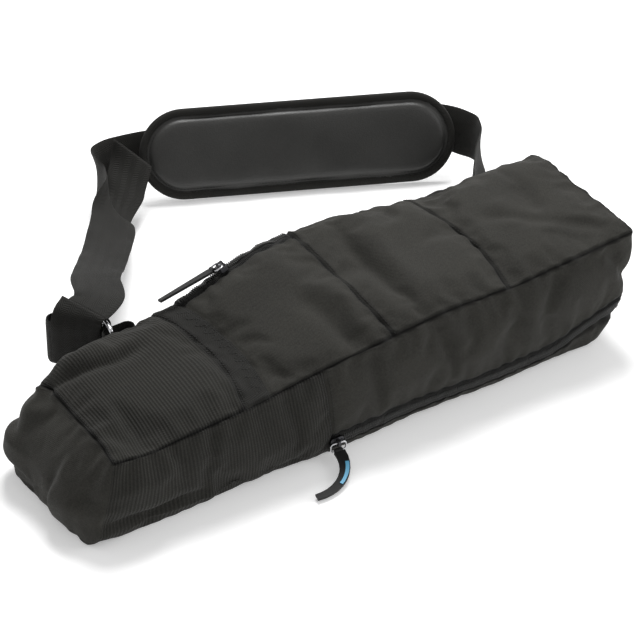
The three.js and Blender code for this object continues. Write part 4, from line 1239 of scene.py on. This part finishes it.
for side, e in ENDS.items():
    names = (f"anchor_ring_{side}", f"strap_ring_{side}", "case")
    wire_ring(*names, e["ring"], e["ring_way"], e["wide"], **RING)
left_loop = anchor("left")
right_loop = anchor("right")


def pad_line(x):
    return PAD_MIDDLE + PAD_ALONG * x + PAD_FRONT * WEB_LEVEL


left_out = np.cross(ENDS["left"]["wide"], ENDS["left"]["loop_way"])
left_wide = -ENDS["left"]["loop_way"]
LOOP_CLEAR = WEB_THICK / 2 + 0.5


def over_loop(up, back_by, aside=0.0):
    face = left_loop + left_out * (ENDS["left"]["loop_depth"] / 2 + LOOP_CLEAR)
    point = face - left_out * back_by + left_wide * aside
    point[2] = left_loop[2] + up
    return point


def on_right_loop(ahead):
    e = ENDS["right"]
    face = right_loop + np.cross(e["wide"], e["loop_way"]) * (e["loop_depth"] / 2 + LOOP_CLEAR)
    return face + e["loop_way"] * ahead


def between_ways(a, b, share):
    return unit(a * (1 - share) + b * share)


PAD_DOWN = -PAD_UP
END_LEFT = [
    (over_loop(-22, 0), left_wide),
    (over_loop(10, 0), left_wide),
    (over_loop(26, 0.5), left_wide),
    (over_loop(34, 4, 2), left_wide),
    (over_loop(40, 12, 6), left_wide),
]
LEFT = [
    (over_loop(36, 13.6, 8), left_wide),
    (over_loop(37, 26, 14), left_wide),
    ((-172, 184, 98), left_wide),
    ((-144, 223, 79), left_wide),
    ((-97, 287, 54), between_ways(left_wide, PAD_DOWN, 0.1)),
    ((-56, 348, 38), between_ways(left_wide, PAD_DOWN, 0.4)),
    ((-43, 378, 35), between_ways(left_wide, PAD_DOWN, 0.85)),
    ((-38, 398, 37), PAD_DOWN),
    ((-33, 418, 38), PAD_DOWN),
    ((-24, 431, 40), PAD_DOWN),
    ((-8, 433, 42), PAD_DOWN),
    (pad_line(-PAD_LENGTH / 2 - 16), PAD_DOWN),
    (pad_line(-0.5), PAD_DOWN),
]
RIGHT_WIDE = ENDS["right"]["wide"]


def level_way(turn):
    """The right end's width direction, turned clockwise about the upright by some degrees."""
    angle = math.radians(turn)
    return np.array([math.cos(angle), -math.sin(angle), 0])


RIGHT = [
    (on_right_loop(-14), RIGHT_WIDE),
    (on_right_loop(18), RIGHT_WIDE),
    ((233, 184, 21), level_way(16)),
    ((244, 195, 15), level_way(42)),
    ((263, 201, 9), level_way(72)),
    ((284, 201, 9), level_way(86)),
    ((303, 202, 15), between_ways(level_way(88), PAD_UP, 0.35)),
    ((320, 206, 29), between_ways(level_way(90), PAD_UP, 0.72)),
    ((334, 217, 38), PAD_UP),
    ((344, 233, 42), PAD_UP),
    ((347, 248, 43), PAD_UP),
    (pad_line(PAD_LENGTH / 2 + 8), PAD_UP),
    (pad_line(0.5), PAD_UP),
]
TAIL_RAILS = [
    ((-58, 369, 30), (-45, 336, 23)),
    ((-34, 398, 34), (-24, 356, 24)),
    ((-27, 409, 42), (-8, 367, 27)),
    ((-13, 424, 54), (2, 377, 32)),
    ((-4, 430, 72), (21, 394, 46)),
]
TAIL_WIDTH = 45
BEND_LEFT = (LEFT[1][0], LEFT[3][0])
BEND_RIGHT = (RIGHT[0][0], RIGHT[3][0])
tail_run = [((np.array(a, float) + b) / 2, np.array(b, float) - a) for a, b in TAIL_RAILS]
for name, node, body, stations, held, rests_on, shape in (
    ("strap_end_webbing", "strap_end_left", "case", END_LEFT, "laid", ["strap_loop_left"], {"wave": 0.25}),
    ("strap_left_webbing", "strap_left", "strap", LEFT, "folded", ["strap_end_left", "pad_sleeve"],
     {"bend": BEND_LEFT, "cup": 1.2, "wave": 0.8}),
    ("strap_right_webbing", "strap_right", "strap", RIGHT, "folded", ["strap_loop_right", "pad_sleeve"],
     {"bend": BEND_RIGHT, "cup": 1.2, "wave": 0.6}),
    ("strap_tail_webbing", "strap_tail", "strap", tail_run, "folded", ["strap_left"],
     {"flat_width": TAIL_WIDTH, "width": None, "cup": 1.5}),
):
    strap_piece(name, node, body, [(stations, False)], held, rests_on, **shape)


# ---- shoulder pad ----
ROUND_STEPS = 28
STRAIGHT_STEPS = 40
PAD_BENT = 3.0  # how far the pad's ends curl forwards


def pad_point(x, y, z):
    """A point of the pad, from its middle along, up and forwards."""
    return PAD_MIDDLE + PAD_ALONG * x + PAD_UP * y + PAD_FRONT * z


def pad_bend(x):
    return PAD_BENT * (2 * x / PAD_LENGTH) ** 4


def stadium(radius):
    """The pad's outline at a radius round its spine, as (along, up)."""
    reach = (PAD_LENGTH - PAD_HEIGHT) / 2
    made = []
    for end in (1, -1):
        for turn in np.linspace(-math.pi / 2, math.pi / 2, ROUND_STEPS, endpoint=False):
            made.append((end * (reach + math.cos(turn) * radius), end * math.sin(turn) * radius))
        for t in np.linspace(reach, -reach, STRAIGHT_STEPS, endpoint=False):
            made.append((end * t, end * radius))
    return made


def pad_form(name, section, closed, lift, flat, look, nodes):
    """A form with the pad's outline, whose section gives (radius, level). lift(level, k, x, y) adds to a
    level, and flat(row, k, x, y) gives the cloth's coordinates."""
    rows = [stadium(radius) for radius, _ in section]
    count = len(rows[0])
    verts = [
        pad_point(x, y, level + lift(level, k, x, y) + pad_bend(x))
        for (_, level), row in zip(section, rows)
        for k, (x, y) in enumerate(row)
    ]
    quads = grid_quads(len(rows) - (not closed), count, flip=not closed)
    uvs = [flat(a, b, *rows[a % len(rows)][b % count]) for quad in quads for a, b in quad]
    obj = put(name, verts, numbered(quads, len(rows), count), look, np.array(uvs) * MM)
    if not closed:
        obj.modifiers.new("merge", "WELD").merge_threshold = 0.00002
    shown(obj, look, "pad", *nodes)


def uneven(level, _, x, y):
    """A slow waviness of the pad's raised middle."""
    return (0.5 * math.sin(x / 23 + y / 19) + 0.3 * math.sin(x / 9 - y / 13)) * (level > 3)


def place_on(_, __, x, y):
    return x, y


INNER = PAD_HEIGHT / 2 - 6
FRONT = [(0, 9.6), (12, 9.4), (22, 9.0), (30, 8.3), (34.5, 7.2), (36.8, 5.8), (37.8, 4.0), (39, 3.4)]
FRONT += [(41, 3.4), (INNER, 3.2), (INNER, -1.6), (INNER - 1, -2.3), (20, -2.4), (0, -2.4)]
BACK = [(0, -2.8), (INNER - 1, -2.8), (INNER, -3.3), (INNER, -4.0), (INNER - 1, -4.6), (20, -4.7), (0, -4.7)]
pad_form("pad_cushion", FRONT, False, uneven, place_on, "neoprene", ["pad_front", "pad_core"])
pad_form("pad_grip", BACK, False, uneven, place_on, "grip_rubber", ["pad_back"])

# The tape rolled over the pad's edge, as a closed tube.
TAPE_STEPS = 20
TAPE_WIDE = 5
TAPE_HIGH = 4.6

def blunt(value, power):
    return math.copysign(abs(value) ** power, value)


tape = [
    (PAD_HEIGHT / 2 - TAPE_WIDE * (1 - blunt(math.cos(a), 0.75)), TAPE_HIGH * blunt(math.sin(a), 0.8))
    for a in np.arange(TAPE_STEPS) * 2 * math.pi / TAPE_STEPS
]
rim = np.array(stadium(PAD_HEIGHT / 2))
rim_steps = np.linalg.norm(np.diff(rim, axis=0, append=rim[:1]), axis=1)
along_rim = np.concatenate([[0], np.cumsum(rim_steps)])


def puckered(level, k, *_):
    return 0.25 * math.sin(along_rim[k] / 2.1) * (level > 0)


def round_tape(row, k, *_):
    return along_rim[k], row * 1.4


pad_form("pad_edge_tape", tape, True, puckered, round_tape, "webbing", ["pad_binding"])


def pad_stitches(name, radius, level):
    line = [pad_point(x, y, level + pad_bend(x)) for x, y in stadium(radius)]
    middles, ways = spaced(line + line[:1], STITCH_PITCH)
    outs = np.tile(PAD_FRONT, (len(middles), 1))
    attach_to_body(rods(name, middles, ways, outs, (2.7, 0.8, 0.7), "thread"), "pad")


pad_stitches("pad_stitches_tape", PAD_HEIGHT / 2 - 8.4, 3.9)
pad_stitches("pad_stitches_panel", 38.6, 3.6)

SLEEVE_LENGTH = 190
SLEEVE_HALF = [(26.6, -4.9), (26.8, -8.2), (24.5, -9.6), (12, -9.9)]
sleeve_path = [(-y, z) for y, z in SLEEVE_HALF] + [(0, -10.1)] + SLEEVE_HALF[::-1]
sleeve = ([(pad_point(0, y, z), PAD_ALONG) for y, z in sleeve_path], False)
sleeve_shape = {"width": SLEEVE_LENGTH, "thick": 1.6, "wave": 0.1}
strap_piece("pad_sleeve_webbing", "pad_sleeve", "pad", [sleeve], "stretched", ["pad_back"], **sleeve_shape)

# ---- metal and moulded pieces ----
def finish_node(node, look, bevel):
    """Gives a CAD piece its finish and softens its sharp edges."""
    obj = frame["nodes"][node]
    obj.data.materials.clear()
    obj.data.materials.append(LOOKS[look])
    soft = obj.modifiers.new("soft_edges", "BEVEL")
    soft.width = bevel * MM
    soft.segments = 3
    soft.limit_method = "ANGLE"
    soft.angle_limit = math.radians(35)
    for face in obj.data.polygons:
        face.use_smooth = True


for node in ("main_slider", "pocket_slider"):
    finish_node(node, "slider_metal", 0.5)
for node in ("main_pull", "pocket_pull"):
    finish_node(node, "pull_rubber", 0.55)
finish_node("main_pull_label", "pull_label", 0.18)

MAIN_PIVOT = np.array([-66.868, -89.371, 19.0])
MAIN_ALONG = unit((0.99429, -0.10671, 0))
POCKET_PIVOT = np.array([-91.147, 79.698, 140.742])
POCKET_HOOK = np.array([-99.903, 79.444, 137.929])
POCKET_ACROSS = unit((0.0905, 0.9264, -0.3654))
PULL_RING = {"width": 11, "height": 18, "radius": 2.6, "wire": 1.8}
main_middle = MAIN_PIVOT - UPWARD * (PULL_RING["width"] - PULL_RING["wire"]) / 2
pocket_middle = (POCKET_PIVOT + POCKET_HOOK) / 2
pocket_way = unit(POCKET_PIVOT - POCKET_HOOK)
for kind, *placed in (
    ("main", main_middle, UPWARD, MAIN_ALONG),
    ("pocket", pocket_middle, pocket_way, POCKET_ACROSS),
):
    wire_ring("pull_ring_" + kind, kind + "_ring", kind + "_ring", *placed, **PULL_RING)

# ---- room ----
FLOOR_HALF = 6000
floor_look = Graph("floor")
floor_look.set(Base_Color=(0.93, 0.93, 0.93, 1), Roughness=0.9, Specular_IOR_Level=0.1)
floor_look.set(Emission_Color=(1, 1, 1, 1), Emission_Strength=0.30)
LOOKS["floor"] = floor_look.material
floor_corners = [(x * FLOOR_HALF, y * FLOOR_HALF, -0.5) for x, y in ((-1, -1), (1, -1), (1, 1), (-1, 1))]
floor = put("floor", floor_corners, [(0, 1, 2, 3)], "floor")

scene.world = bpy.data.worlds.new("world")
scene.world.use_nodes = True
background = scene.world.node_tree.nodes["Background"]
background.inputs["Color"].default_value = (1.0, 1.0, 1.0, 1)
background.inputs["Strength"].default_value = 0.46
scene.view_settings.view_transform = "Standard"


def area_light(name, place, target, size, power):
    light = bpy.data.lights.new(name, "AREA")
    light.shape = "SQUARE"
    light.size = size
    light.energy = power
    aimed(bpy.data.objects.new(name, light), place, target)


area_light("key", (0.75, 1.15, 2.1), (0, 0.05, 0.05), 0.9, 60)
area_light("fill", (1.9, -1.7, 1.5), (0.05, 0, 0.05), 1.2, 16)
